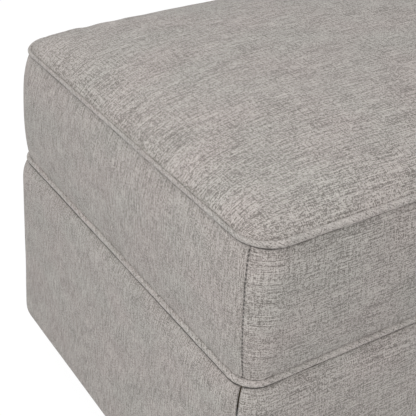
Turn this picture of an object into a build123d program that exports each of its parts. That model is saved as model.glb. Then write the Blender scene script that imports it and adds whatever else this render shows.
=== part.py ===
from build123d import *

from math import asin, cos, degrees, radians, sin
import os

# Upholstered glider ottoman: a padded box that swings on four hanging links.
# Frame: millimetres, +Z up, origin on the floor under the middle of the ottoman.
# X runs along the long side, the front faces -Y, and the ottoman glides along Y.

# ---- upholstered box: its outline follows the centre line of the top welt
SEAT_LENGTH = 610.0
SEAT_DEPTH = 457.0
CUSHION_CORNER_RADIUS = 32.0
SKIRT_CORNER_RADIUS = 19.0
FLOOR_CLEARANCE = 32.0
SKIRT_HEIGHT = 238.0
BAND_HEIGHT = 138.0
COVER_THICKNESS = 2.0
SOFT_GAP = 0.3
WELT_RADIUS = 3.3
WELT_TUCK = 2.0
MID_WELT_OUTSET = 3.5
BAND_FULLNESS = 9.0
BAND_SECTIONS = 5
SKIRT_FULLNESS = 11.5
SKIRT_FLARE = 6.0
SKIRT_SHOULDER = 29.0
SKIRT_RETURN = 9.0

# ---- crown of the cushion: a rolled edge, then a slow dome over the field
ROLL_WIDTH = 24.0
ROLL_RISE = 18.0
ROLL_END = 80.0
ROLL_STEPS = 5
FIELD_RISE = 17.5
FIELD_SHARE = 0.65
FIELD_STEPS = 4

# ---- padding under the cover
WRAP_THICKNESS = 12.0
PADDING_EDGE = 2.0
PADDING_DROP = 6.0
WEBBING_THICKNESS = 1.2
WEBBING_WIDTH = 50.0
WEBBING_INSET = 4.0
LENGTHWISE_STRAPS = 5
CROSSWISE_STRAPS = 6
DUST_COVER_THICKNESS = 1.0
DUST_COVER_INSET = 5.0
SLOT_CLEARANCE = 5.0

# ---- wooden frame inside the box
FRAME_INSET = 0.5
PANEL_THICKNESS = 18.0
POST_WIDTH = 45.0
CLEAT_HEIGHT = 44.0
CLEAT_ABOVE_PIVOT = 66.0

# ---- glide: four hanging links, two on each side
PIVOT_SPREAD = 190.0
UPPER_PIVOT_HEIGHT = 175.0
LINK_LENGTH = 110.0
SWING_LIMIT = 28.0
LINK_THICKNESS = 7.0
LINK_WAIST = 20.0
LINK_STRAP_THICKNESS = 5.0
LINK_SLOT_LENGTH = 44.0
LINK_SLOT_WIDTH = 8.0
LINK_NECK_FILLET = 12.0
BOSS_RADIUS = 16.0
BEARING_RADIUS = 11.0
RACE_WALL = 2.0
SHIELD_DEPTH = 0.6
RUNNING_CLEARANCE = 0.06
OPEN_PIVOT_CLEARANCE = 0.3
SIDE_CLEARANCE = 0.3

# ---- fasteners of the glide
BOLT_RADIUS = 4.0
BOLT_HEAD_HEIGHT = 4.0
BOLT_HEAD_WIDTH = 13.0
NUT_HEIGHT = 5.0
THREAD_END = 1.0
SPACER_RADIUS = 6.0
SPACER_LENGTH = 8.0
SCREW_RADIUS = 2.75
SCREW_LENGTH = 22.0
SCREW_HEAD_RADIUS = 5.5
SCREW_HEAD_HEIGHT = 3.0
SCREW_SPACING = 70.0
SCREWS_PER_HANGER = 4

# ---- plates, stop bumpers
PLATE_THICKNESS = 3.0
PLATE_BOSS_RADIUS = 18.0
PLATE_FOOT_SPREAD = 226.0
PLATE_FOOT_RADIUS = 10.0
WINDOW_RADIUS = 12.0
MIDDLE_WINDOW_WIDTH = 44.0
MIDDLE_WINDOW_HEIGHT = 100.0
SIDE_WINDOW_WIDTH = 46.0
SIDE_WINDOW_HEIGHT = 62.0
SIDE_WINDOW_SPREAD = 164.0
WINDOW_SILL = 22.0
HANGER_END = 30.0
HANGER_CORNER = 8.0
HANGER_ROOT_WIDTH = 64.0
HANGER_SLOT_LENGTH = 50.0
HANGER_SLOT_WIDTH = 14.0
BUMPER_RADIUS = 9.0
BUMPER_REACH = 62.0
BUMPER_STEM_RADIUS = 4.0
BUMPER_BARB = 1.6

# ---- base under the box
RAIL_WIDTH = 40.0
RAIL_HEIGHT = 20.0
RAIL_WALL = 1.5
CROSS_RAIL_WIDTH = 30.0
CROSS_RAIL_SPREAD = 280.0
CAP_FLANGE = 3.0
CAP_PLUG = 14.0
CAP_CLEARANCE = 0.2
GLIDE_RADIUS = 15.0
GLIDE_HEIGHT = 6.0
GLIDE_CHAMFER = 1.5
GLIDE_STEM_RADIUS = 4.0
GLIDE_STEM_LENGTH = 8.0
GLIDE_SPREAD = 330.0
GLIDE_FROM_END = 27.0
RAIL_BOLT_SPACING = 90.0
RAIL_BOLTS = 3

# ---- heights and planes that follow from the sizes above
FOOT_Z = FLOOR_CLEARANCE + DUST_COVER_THICKNESS
FRAME_BOTTOM = FOOT_Z + COVER_THICKNESS
MID_WELT_Z = FLOOR_CLEARANCE + SKIRT_HEIGHT
TOP_WELT_Z = MID_WELT_Z + BAND_HEIGHT
DECK_TOP = MID_WELT_Z + 2 * WEBBING_THICKNESS
LOWER_PIVOT_HEIGHT = UPPER_PIVOT_HEIGHT - LINK_LENGTH
CLEAT_MIDDLE = LOWER_PIVOT_HEIGHT + CLEAT_ABOVE_PIVOT

HALF_LENGTH = SEAT_LENGTH / 2
HALF_DEPTH = SEAT_DEPTH / 2
FIELD_WIDTH = FIELD_SHARE * HALF_DEPTH
PANEL_OUTER_X = HALF_LENGTH - FRAME_INSET
PANEL_INNER_X = PANEL_OUTER_X - PANEL_THICKNESS
POST_INNER_X = PANEL_OUTER_X - POST_WIDTH
PANEL_OUTER_Y = HALF_DEPTH - FRAME_INSET
PANEL_INNER_Y = PANEL_OUTER_Y - PANEL_THICKNESS
POST_INNER_Y = PANEL_OUTER_Y - POST_WIDTH

HANGER_OUTER_X = POST_INNER_X - SIDE_CLEARANCE
HANGER_INNER_X = HANGER_OUTER_X - PLATE_THICKNESS
LINK_OUTER_X = HANGER_INNER_X - SPACER_LENGTH
LINK_INNER_X = LINK_OUTER_X - LINK_THICKNESS
LINK_MIDDLE_X = (LINK_OUTER_X + LINK_INNER_X) / 2
PLATE_OUTER_X = LINK_INNER_X - SPACER_LENGTH
PLATE_INNER_X = PLATE_OUTER_X - PLATE_THICKNESS
RAIL_INNER_X = PLATE_INNER_X - RAIL_WIDTH
RAIL_MIDDLE_X = PLATE_INNER_X - RAIL_WIDTH / 2
RAIL_MIDDLE_Z = GLIDE_HEIGHT + RAIL_HEIGHT / 2
RAIL_LENGTH = GLIDE_SPREAD + 2 * GLIDE_FROM_END

HALF_SPREAD = PIVOT_SPREAD / 2
TRAVEL = LINK_LENGTH * sin(radians(SWING_LIMIT))
BUMPER_GAP = LINK_WAIST / 2 + BUMPER_RADIUS + SIDE_CLEARANCE
BUMPER_ANGLE = radians(SWING_LIMIT + degrees(asin(BUMPER_GAP / BUMPER_REACH)))
BUMPER_Y = HALF_SPREAD - BUMPER_REACH * sin(BUMPER_ANGLE)
BUMPER_Z = UPPER_PIVOT_HEIGHT - BUMPER_REACH * cos(BUMPER_ANGLE)

SIDE_TURN = {"front": 0, "right": 90, "rear": 180, "left": 270}
CORNERS = {
    "front_left": (-1, -1),
    "front_right": (1, -1),
    "rear_left": (-1, 1),
    "rear_right": (1, 1),
}
CLOSED_LOWER_PIVOT = "front_left"


# ---- helpers
def outline(inset, z, radius):
    """Rounded rectangle at this height, this far inside the line of the top welt."""
    face = RectangleRounded(SEAT_LENGTH - 2 * inset, SEAT_DEPTH - 2 * inset, radius)
    return Pos(0, 0, z) * face


def box_between(low, high):
    """Box from its lowest to its highest corner."""
    size = [top - bottom for bottom, top in zip(low, high)]
    middle = [(top + bottom) / 2 for bottom, top in zip(low, high)]
    return Pos(*middle) * Box(*size)


def bar(radius, start, end, y, z):
    """Round bar along X from one plane to another."""
    return extrude(Plane((start, y, z), z_dir=(1, 0, 0)) * Circle(radius), end - start)


def hex_bar(width, start, end, y, z):
    """Hexagonal bar along X from one plane to another."""
    hexagon = RegularPolygon(width / 2, 6, major_radius=False)
    return extrude(Plane((start, y, z), z_dir=(1, 0, 0)) * hexagon, end - start)


def sheet_metal(sketch, start, end):
    """A sketch drawn in Y and Z, made solid along X from one plane to another."""
    return extrude(Plane((start, 0, 0), x_dir=(0, 1, 0), z_dir=(1, 0, 0)) * sketch, end - start)


def evenly(count, pitch):
    """Places along a line, at this pitch and centred on zero."""
    return [(place - (count - 1) / 2) * pitch for place in range(count)]


def on_left(shape):
    """Mirror image on the left side of a shape made for the right side."""
    return mirror(shape, about=Plane.YZ)


def for_side(shape, side):
    """The shape on its own side: made for the right, mirrored for the left."""
    return shape if side > 0 else on_left(shape)


def wrapped_side(profile, side, radius):
    """One side of the cover: a profile run along it and half way round both its corners.

    The profile's x is the distance outside the top welt's line, and its y is the height.
    """
    lengthwise = side in ("front", "rear")
    reach = HALF_DEPTH if lengthwise else HALF_LENGTH
    half = (HALF_LENGTH if lengthwise else HALF_DEPTH) - radius
    near_end, far_end = [
        Plane((x, -reach, 0), x_dir=(0, -1, 0), z_dir=(-1, 0, 0)) * profile for x in (half, -half)
    ]
    corner_y = radius - reach
    body = extrude(near_end, 2 * half)
    body += revolve(near_end, Axis((half, corner_y, 0), (0, 0, 1)), 45)
    body += revolve(far_end, Axis((-half, corner_y, 0), (0, 0, -1)), 45)
    return Rot(0, 0, SIDE_TURN[side]) * body


def wrapped_ring(profile, radius):
    """A closed ring of the profile, right round the ottoman."""
    front, right, rear, left = [wrapped_side(profile, side, radius) for side in SIDE_TURN]
    return front + right + rear + left


def corner_to_corner(side):
    """Upright wedge that cuts one side out of a ring, from corner to corner."""
    spare = 2 * CUSHION_CORNER_RADIUS
    lengthwise = side in ("front", "rear")
    half, reach = (HALF_LENGTH, HALF_DEPTH) if lengthwise else (HALF_DEPTH, HALF_LENGTH)
    points = [
        (-half - spare, -reach - spare),
        (half + spare, -reach - spare),
        (half - reach / 2, -reach / 2),
        (reach / 2 - half, -reach / 2),
    ]
    wedge = extrude(make_face(Polyline(*points, close=True)), TOP_WELT_Z)
    return Rot(0, 0, SIDE_TURN[side]) * wedge


# ---- cushion
def crown(depth):
    """The crowned top of the cushion, this deep under its surface: a rolled edge, then the field."""
    inset = WELT_RADIUS + SOFT_GAP + depth
    z = TOP_WELT_Z + SOFT_GAP - depth
    radius = CUSHION_CORNER_RADIUS - WELT_RADIUS
    sections = []
    for step in range(ROLL_STEPS + 1):
        angle = radians(ROLL_END * step / ROLL_STEPS)
        roll_inset = inset + ROLL_WIDTH * (1 - cos(angle))
        roll_z = z + ROLL_RISE * sin(angle)
        sections.append(outline(roll_inset, roll_z, radius))
    for step in range(1, FIELD_STEPS + 1):
        share = step / FIELD_STEPS
        field_z = roll_z + FIELD_RISE * (1 - (1 - share) ** 2)
        sections.append(outline(roll_inset + FIELD_WIDTH * share, field_z, radius))
    return loft(sections, ruled=True)


def full_side(depth):
    """The cushion from the mid welt to the top welt, this deep under its full sides."""
    low_z = MID_WELT_Z + WELT_RADIUS + SOFT_GAP
    high_z = TOP_WELT_Z - WELT_RADIUS - SOFT_GAP
    sections = []
    for step in range(BAND_SECTIONS):
        share = step / (BAND_SECTIONS - 1)
        fullness = BAND_FULLNESS * (1 - (2 * share - 1) ** 2)
        outset = MID_WELT_OUTSET * (1 - share) - WELT_TUCK + fullness - depth
        radius = SKIRT_CORNER_RADIUS * (1 - share) + CUSHION_CORNER_RADIUS * share
        z = low_z + (high_z - low_z) * share
        sections.append(outline(-outset, z, radius + outset))
    return loft(sections)


def cover_top():
    """Crowned top panel of the cover."""
    return crown(0) - crown(COVER_THICKNESS)


def cushion_band(side):
    """Boxing panel along one side of the cushion."""
    return (full_side(0) - full_side(COVER_THICKNESS)) & corner_to_corner(side)


def welt(outset, z, radius):
    """Covered cord sewn into a seam, right round the ottoman."""
    return wrapped_ring(Pos(outset, z) * Circle(WELT_RADIUS), radius)


def foam_core(depth):
    """Foam slab of the cushion with straight sides, crowned like the cover."""
    foot = outline(WELT_RADIUS + SOFT_GAP + depth, DECK_TOP, CUSHION_CORNER_RADIUS - WELT_RADIUS)
    return extrude(foot, TOP_WELT_Z + SOFT_GAP - depth - DECK_TOP) + crown(depth)


def fibre_wrap():
    """Soft wadding between the foam and the cover, open underneath."""
    depth = COVER_THICKNESS + SOFT_GAP
    side = full_side(depth)
    foot = extrude(side.faces().sort_by(Axis.Z)[0], DECK_TOP - side.bounding_box().min.Z)
    return side + foot + foam_core(depth) - foam_core(depth + WRAP_THICKNESS)


# ---- lower part of the cover
def skirt_panel(side):
    """Lower panel of the cover, rounded and turned in under the frame."""
    top = MID_WELT_Z - WELT_RADIUS - SOFT_GAP
    neck = MID_WELT_OUTSET - WELT_TUCK
    full = neck + SKIRT_FULLNESS
    widest = full + SKIRT_FLARE
    shoulder = top - SKIRT_SHOULDER
    tuck = -FRAME_INSET
    foot = FOOT_Z + widest - tuck
    hem = tuck - SKIRT_RETURN
    inner_neck, inner_full, inner_widest = [reach - COVER_THICKNESS for reach in (neck, full, widest)]
    edges = [
        Line((tuck, FOOT_Z), (hem, FOOT_Z)),
        Line((hem, FOOT_Z), (hem, FRAME_BOTTOM)),
        Line((hem, FRAME_BOTTOM), (tuck, FRAME_BOTTOM)),
        TangentArc((inner_widest, foot), (tuck, FRAME_BOTTOM), tangent=(0, -1)),
        Line((inner_widest, foot), (inner_full, shoulder)),
        TangentArc((inner_full, shoulder), (inner_neck, top), tangent=(0, 1)),
        Line((inner_neck, top), (neck, top)),
        TangentArc((full, shoulder), (neck, top), tangent=(0, 1)),
        Line((widest, foot), (full, shoulder)),
        TangentArc((widest, foot), (tuck, FOOT_Z), tangent=(0, -1)),
    ]
    return wrapped_side(make_face(edges), side, SKIRT_CORNER_RADIUS)


def skirt_padding():
    """Thin pad between the wooden frame and the lower cover."""
    skirt_top = MID_WELT_Z - WELT_RADIUS - SOFT_GAP
    top = skirt_top - PADDING_DROP
    neck = MID_WELT_OUTSET - WELT_TUCK
    full = neck + SKIRT_FULLNESS - COVER_THICKNESS - SOFT_GAP
    shoulder = skirt_top - SKIRT_SHOULDER
    widest = full + SKIRT_FLARE
    foot = FOOT_Z + neck + SKIRT_FULLNESS + SKIRT_FLARE + FRAME_INSET
    edge = PADDING_EDGE - FRAME_INSET - SOFT_GAP
    points = [
        (-FRAME_INSET, FRAME_BOTTOM + PADDING_EDGE),
        (edge, FRAME_BOTTOM + PADDING_EDGE),
        (widest, foot),
        (full, shoulder),
        (edge, top),
        (-FRAME_INSET, top),
    ]
    return wrapped_ring(make_face(Polyline(*points, close=True)), SKIRT_CORNER_RADIUS)


def dust_cover():
    """Cloth under the box, with two slots that let the base's plates through."""
    sheet = outline(DUST_COVER_INSET, FLOOR_CLEARANCE, SKIRT_CORNER_RADIUS - DUST_COVER_INSET)
    cloth = extrude(sheet, DUST_COVER_THICKNESS)
    slot_width = PLATE_THICKNESS + 2 * SLOT_CLEARANCE
    slot_length = PLATE_FOOT_SPREAD + 2 * (PLATE_FOOT_RADIUS + TRAVEL + SLOT_CLEARANCE)
    slot = Pos(PLATE_OUTER_X - PLATE_THICKNESS / 2, 0, FLOOR_CLEARANCE)
    slot *= extrude(SlotOverall(slot_length, slot_width, rotation=90), DUST_COVER_THICKNESS)
    return cloth - slot - on_left(slot)


# ---- wooden frame
def frame_panel(side):
    """Board of the box's wall, between two corner posts."""
    if side in ("front", "rear"):
        low = (-POST_INNER_X, PANEL_INNER_Y, FRAME_BOTTOM)
        high = (POST_INNER_X, PANEL_OUTER_Y, MID_WELT_Z)
        return Rot(0, 0, 0 if side == "rear" else 180) * box_between(low, high)
    low = (PANEL_INNER_X, -POST_INNER_Y, FRAME_BOTTOM)
    high = (PANEL_OUTER_X, POST_INNER_Y, MID_WELT_Z)
    return for_side(box_between(low, high), 1 if side == "right" else -1)


def corner_post(side, end):
    """Corner post with its outer edge rounded to the cover's corner."""
    low = (POST_INNER_X, POST_INNER_Y, FRAME_BOTTOM)
    high = (PANEL_OUTER_X, PANEL_OUTER_Y, MID_WELT_Z)
    post = box_between(low, high)
    outer_edge = post.edges().filter_by(Axis.Z).sort_by(lambda edge: edge.center().X + edge.center().Y)[-1]
    post = fillet(outer_edge, SKIRT_CORNER_RADIUS - FRAME_INSET)
    return for_side(post if end > 0 else mirror(post, about=Plane.XZ), side)


def cleat(side):
    """Hardwood rail on the inside of the wall, which the hanger plate is screwed to."""
    half = CLEAT_HEIGHT / 2
    low = (HANGER_OUTER_X, -POST_INNER_Y, CLEAT_MIDDLE - half)
    high = (PANEL_INNER_X, POST_INNER_Y, CLEAT_MIDDLE + half)
    wood = box_between(low, high)
    for y in evenly(SCREWS_PER_HANGER, SCREW_SPACING):
        wood -= bar(SCREW_RADIUS, HANGER_OUTER_X, HANGER_OUTER_X + SCREW_LENGTH, y, CLEAT_MIDDLE)
    return for_side(wood, side)


def webbing(lengthwise):
    """Straps stretched over the frame to carry the cushion, in two crossing layers."""
    reach = (PANEL_OUTER_X if lengthwise else PANEL_OUTER_Y) - WEBBING_INSET
    count = LENGTHWISE_STRAPS if lengthwise else CROSSWISE_STRAPS
    span = 2 * (PANEL_INNER_Y if lengthwise else PANEL_INNER_X)
    low_z = MID_WELT_Z if lengthwise else MID_WELT_Z + WEBBING_THICKNESS
    straps = []
    for place in evenly(count, span / count):
        size = (2 * reach, WEBBING_WIDTH) if lengthwise else (WEBBING_WIDTH, 2 * reach)
        middle = (0, place, low_z) if lengthwise else (place, 0, low_z)
        straps.append(Pos(*middle) * extrude(Rectangle(*size), WEBBING_THICKNESS))
    return straps


# ---- glide
def swing_link(side, end):
    """Steel link: a waisted strap with a bearing boss at each end."""
    y = end * HALF_SPREAD
    middle_z = UPPER_PIVOT_HEIGHT - LINK_LENGTH / 2
    bosses = Sketch() + [Pos(y, z) * Circle(BOSS_RADIUS) for z in (LOWER_PIVOT_HEIGHT, UPPER_PIVOT_HEIGHT)]
    strap = bosses + Pos(y, middle_z) * Rectangle(LINK_WAIST, LINK_LENGTH)
    necks = [
        corner for corner in strap.vertices()
        if BOSS_RADIUS / 2 < abs(corner.Y - middle_z) < LINK_LENGTH / 2 - BOSS_RADIUS / 2
    ]
    strap = fillet(necks, LINK_NECK_FILLET)
    strap -= Pos(y, middle_z) * SlotOverall(LINK_SLOT_LENGTH, LINK_SLOT_WIDTH, rotation=90)
    half = LINK_STRAP_THICKNESS / 2
    link = sheet_metal(strap, LINK_MIDDLE_X - half, LINK_MIDDLE_X + half)
    link += sheet_metal(bosses, LINK_INNER_X, LINK_OUTER_X)
    for z in (LOWER_PIVOT_HEIGHT, UPPER_PIVOT_HEIGHT):
        link -= bar(BEARING_RADIUS, LINK_INNER_X, LINK_OUTER_X, y, z)
    return for_side(link, side)


def bearing(y, z, clearance):
    """Sealed ball bearing: two races with a shield sunk between them on each face."""
    bore = BOLT_RADIUS + clearance
    ring = bar(BEARING_RADIUS, LINK_INNER_X, LINK_OUTER_X, y, z)
    ring -= bar(bore, LINK_INNER_X, LINK_OUTER_X, y, z)
    for start in (LINK_INNER_X, LINK_OUTER_X - SHIELD_DEPTH):
        groove = bar(BEARING_RADIUS - RACE_WALL, start, start + SHIELD_DEPTH, y, z)
        ring -= groove - bar(BOLT_RADIUS + RACE_WALL, start, start + SHIELD_DEPTH, y, z)
    return ring


def link_bearings(name):
    """The two bearings pressed into one link."""
    side, end = CORNERS[name]
    y = end * HALF_SPREAD
    lower = RUNNING_CLEARANCE if name == CLOSED_LOWER_PIVOT else OPEN_PIVOT_CLEARANCE
    pair = [
        bearing(y, UPPER_PIVOT_HEIGHT, RUNNING_CLEARANCE),
        bearing(y, LOWER_PIVOT_HEIGHT, lower),
    ]
    return [for_side(one, side) for one in pair]


def pivot_plate(side):
    """Stamped steel plate that stands on a base rail and carries two upper pivots."""
    foot_z = GLIDE_HEIGHT + PLATE_FOOT_RADIUS
    corners = [(end * HALF_SPREAD, UPPER_PIVOT_HEIGHT, PLATE_BOSS_RADIUS) for end in (-1, 1)]
    corners += [(end * PLATE_FOOT_SPREAD / 2, foot_z, PLATE_FOOT_RADIUS) for end in (-1, 1)]
    rounds = Sketch() + [Pos(y, z) * Circle(radius) for y, z, radius in corners]
    blank = make_hull(rounds.edges())
    sill = GLIDE_HEIGHT + RAIL_HEIGHT + WINDOW_SILL
    blank -= Pos(0, sill + MIDDLE_WINDOW_HEIGHT / 2) * RectangleRounded(
        MIDDLE_WINDOW_WIDTH, MIDDLE_WINDOW_HEIGHT, WINDOW_RADIUS
    )
    for end in (-1, 1):
        blank -= Pos(end * SIDE_WINDOW_SPREAD / 2, sill + SIDE_WINDOW_HEIGHT / 2) * RectangleRounded(
            SIDE_WINDOW_WIDTH, SIDE_WINDOW_HEIGHT, WINDOW_RADIUS
        )
        blank -= Pos(end * HALF_SPREAD, UPPER_PIVOT_HEIGHT) * Circle(BOLT_RADIUS + RUNNING_CLEARANCE)
        blank -= Pos(end * BUMPER_Y, BUMPER_Z) * Circle(BUMPER_STEM_RADIUS)
    for y in evenly(RAIL_BOLTS, RAIL_BOLT_SPACING):
        blank -= Pos(y, RAIL_MIDDLE_Z) * Circle(BOLT_RADIUS + RUNNING_CLEARANCE)
    return for_side(sheet_metal(blank, PLATE_INNER_X, PLATE_OUTER_X), side)


def hanger_plate(side):
    """Steel plate under the wooden cleat, with an ear down to each lower pivot."""
    length = PIVOT_SPREAD + 2 * HANGER_END
    blank = Pos(0, CLEAT_MIDDLE) * RectangleRounded(length, CLEAT_HEIGHT, HANGER_CORNER)
    for end in (-1, 1):
        y = end * HALF_SPREAD
        root = Pos(y, CLEAT_MIDDLE - CLEAT_HEIGHT / 4) * Rectangle(HANGER_ROOT_WIDTH, CLEAT_HEIGHT / 2)
        eye = Pos(y, LOWER_PIVOT_HEIGHT) * Circle(BOSS_RADIUS)
        blank += make_hull(root.edges() + eye.edges())
    for end in (-1, 1):
        blank -= Pos(end * HALF_SPREAD, LOWER_PIVOT_HEIGHT) * Circle(BOLT_RADIUS + RUNNING_CLEARANCE)
    for y in evenly(SCREWS_PER_HANGER, SCREW_SPACING):
        blank -= Pos(y, CLEAT_MIDDLE) * Circle(SCREW_RADIUS)
    for y in evenly(SCREWS_PER_HANGER - 1, SCREW_SPACING):
        blank -= Pos(y, CLEAT_MIDDLE) * SlotOverall(HANGER_SLOT_LENGTH, HANGER_SLOT_WIDTH)
    return for_side(sheet_metal(blank, HANGER_INNER_X, HANGER_OUTER_X), side)


def pivot_fasteners(name, z, head_face, spacer_ends, nut_ends):
    """Hexagon bolt, spacer tube and nut of one pivot: the link turns between head or nut and spacer."""
    side, end = CORNERS[name]
    y = end * HALF_SPREAD
    bolt = hex_bar(BOLT_HEAD_WIDTH, head_face, head_face + BOLT_HEAD_HEIGHT, y, z)
    bolt += bar(BOLT_RADIUS, nut_ends[0] - THREAD_END, head_face, y, z)
    spacer = bar(SPACER_RADIUS, *spacer_ends, y, z)
    spacer -= bar(BOLT_RADIUS + RUNNING_CLEARANCE, *spacer_ends, y, z)
    nut = hex_bar(BOLT_HEAD_WIDTH, *nut_ends, y, z) - bar(BOLT_RADIUS, *nut_ends, y, z)
    return [for_side(piece, side) for piece in (bolt, spacer, nut)]


def upper_pivot(name):
    """Pivot on the base's plate, from which a link hangs."""
    return pivot_fasteners(
        name,
        UPPER_PIVOT_HEIGHT,
        LINK_OUTER_X + SIDE_CLEARANCE,
        (PLATE_OUTER_X, LINK_INNER_X - SIDE_CLEARANCE),
        (PLATE_INNER_X - NUT_HEIGHT, PLATE_INNER_X),
    )


def lower_pivot(name):
    """Pivot at the foot of a link, from which the box's hanger plate hangs."""
    nut_end = LINK_INNER_X - SIDE_CLEARANCE
    return pivot_fasteners(
        name,
        LOWER_PIVOT_HEIGHT,
        HANGER_OUTER_X,
        (LINK_OUTER_X + SIDE_CLEARANCE, HANGER_INNER_X),
        (nut_end - NUT_HEIGHT, nut_end),
    )


def hanger_screws():
    """Pan-headed screws that hold the hanger plates to the cleats."""
    screws = []
    for y in evenly(SCREWS_PER_HANGER, SCREW_SPACING):
        screw = bar(SCREW_HEAD_RADIUS, HANGER_INNER_X - SCREW_HEAD_HEIGHT, HANGER_INNER_X, y, CLEAT_MIDDLE)
        head_rim = screw.edges().sort_by(Axis.X)[0]
        screw = chamfer(head_rim, SCREW_HEAD_HEIGHT / 2)
        screw += bar(SCREW_RADIUS, HANGER_INNER_X, HANGER_OUTER_X + SCREW_LENGTH, y, CLEAT_MIDDLE)
        screws += [screw, on_left(screw)]
    return screws


def stop_bumpers():
    """Rubber buttons pushed through the plates, which the links meet at the ends of the swing."""
    bumpers = []
    for end in (-1, 1):
        y = end * BUMPER_Y
        button = bar(BUMPER_RADIUS, PLATE_OUTER_X, LINK_OUTER_X, y, BUMPER_Z)
        button += bar(BUMPER_STEM_RADIUS, PLATE_INNER_X, PLATE_OUTER_X, y, BUMPER_Z)
        barb_radius = BUMPER_STEM_RADIUS + BUMPER_BARB
        button += bar(barb_radius, PLATE_INNER_X - BUMPER_BARB, PLATE_INNER_X, y, BUMPER_Z)
        bumpers += [button, on_left(button)]
    return bumpers


# ---- base
def base_rail(side):
    """Steel tube under one side of the box, with holes for the plate bolts and the floor glides."""
    low = (RAIL_INNER_X, -RAIL_LENGTH / 2, GLIDE_HEIGHT)
    high = (PLATE_INNER_X, RAIL_LENGTH / 2, GLIDE_HEIGHT + RAIL_HEIGHT)
    bore_low = (low[0] + RAIL_WALL, low[1], low[2] + RAIL_WALL)
    bore_high = (high[0] - RAIL_WALL, high[1], high[2] - RAIL_WALL)
    tube = box_between(low, high) - box_between(bore_low, bore_high)
    for y in evenly(RAIL_BOLTS, RAIL_BOLT_SPACING):
        tube -= bar(BOLT_RADIUS + RUNNING_CLEARANCE, RAIL_INNER_X, PLATE_INNER_X, y, RAIL_MIDDLE_Z)
    for y in evenly(2, GLIDE_SPREAD):
        tube -= Pos(RAIL_MIDDLE_X, y, GLIDE_HEIGHT) * extrude(Circle(GLIDE_STEM_RADIUS), RAIL_WALL)
    return for_side(tube, side)


def cross_rail(end):
    """Steel tube welded between the two side rails."""
    y = end * CROSS_RAIL_SPREAD / 2
    half = CROSS_RAIL_WIDTH / 2
    low = (-RAIL_INNER_X, y - half, GLIDE_HEIGHT)
    high = (RAIL_INNER_X, y + half, GLIDE_HEIGHT + RAIL_HEIGHT)
    bore_low = (low[0], low[1] + RAIL_WALL, low[2] + RAIL_WALL)
    bore_high = (high[0], high[1] - RAIL_WALL, high[2] - RAIL_WALL)
    return box_between(low, high) - box_between(bore_low, bore_high)


def rail_end_caps():
    """Plastic plugs in the open ends of the side rails."""
    cap = Pos(RAIL_MIDDLE_X, RAIL_LENGTH / 2, RAIL_MIDDLE_Z) * box_between(
        (-RAIL_WIDTH / 2, 0, -RAIL_HEIGHT / 2), (RAIL_WIDTH / 2, CAP_FLANGE, RAIL_HEIGHT / 2)
    )
    outer_rim = cap.faces().sort_by(Axis.Y)[-1].edges()
    cap = fillet(outer_rim, CAP_FLANGE / 2)
    half_x = RAIL_WIDTH / 2 - RAIL_WALL - CAP_CLEARANCE
    half_z = RAIL_HEIGHT / 2 - RAIL_WALL - CAP_CLEARANCE
    cap += Pos(RAIL_MIDDLE_X, RAIL_LENGTH / 2, RAIL_MIDDLE_Z) * box_between(
        (-half_x, -CAP_PLUG, -half_z), (half_x, 0, half_z)
    )
    pair = [cap, mirror(cap, about=Plane.XZ)]
    return pair + [on_left(one) for one in pair]


def rail_bolts():
    """Bolts that hold the pivot plates against the outer faces of the side rails."""
    bolts = []
    for y in evenly(RAIL_BOLTS, RAIL_BOLT_SPACING):
        bolt = hex_bar(BOLT_HEAD_WIDTH, PLATE_OUTER_X, PLATE_OUTER_X + BOLT_HEAD_HEIGHT, y, RAIL_MIDDLE_Z)
        thread_end = RAIL_INNER_X - NUT_HEIGHT - THREAD_END
        bolt += bar(BOLT_RADIUS, thread_end, PLATE_OUTER_X, y, RAIL_MIDDLE_Z)
        bolts += [bolt, on_left(bolt)]
    return bolts


def rail_nuts():
    """Nuts of the rail bolts, on the inner faces of the side rails."""
    nuts = []
    for y in evenly(RAIL_BOLTS, RAIL_BOLT_SPACING):
        ends = (RAIL_INNER_X - NUT_HEIGHT, RAIL_INNER_X)
        nut = hex_bar(BOLT_HEAD_WIDTH, *ends, y, RAIL_MIDDLE_Z) - bar(BOLT_RADIUS, *ends, y, RAIL_MIDDLE_Z)
        nuts += [nut, on_left(nut)]
    return nuts


def floor_glides():
    """Plastic feet under the side rails, each with a stem through the rail's lower wall."""
    foot = chamfer(extrude(Circle(GLIDE_RADIUS), GLIDE_HEIGHT).edges().sort_by(Axis.Z)[0], GLIDE_CHAMFER)
    foot += Pos(0, 0, GLIDE_HEIGHT) * extrude(Circle(GLIDE_STEM_RADIUS), GLIDE_STEM_LENGTH)
    return [
        Pos(side * RAIL_MIDDLE_X, y, 0) * foot for side in (-1, 1) for y in evenly(2, GLIDE_SPREAD)
    ]


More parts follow.
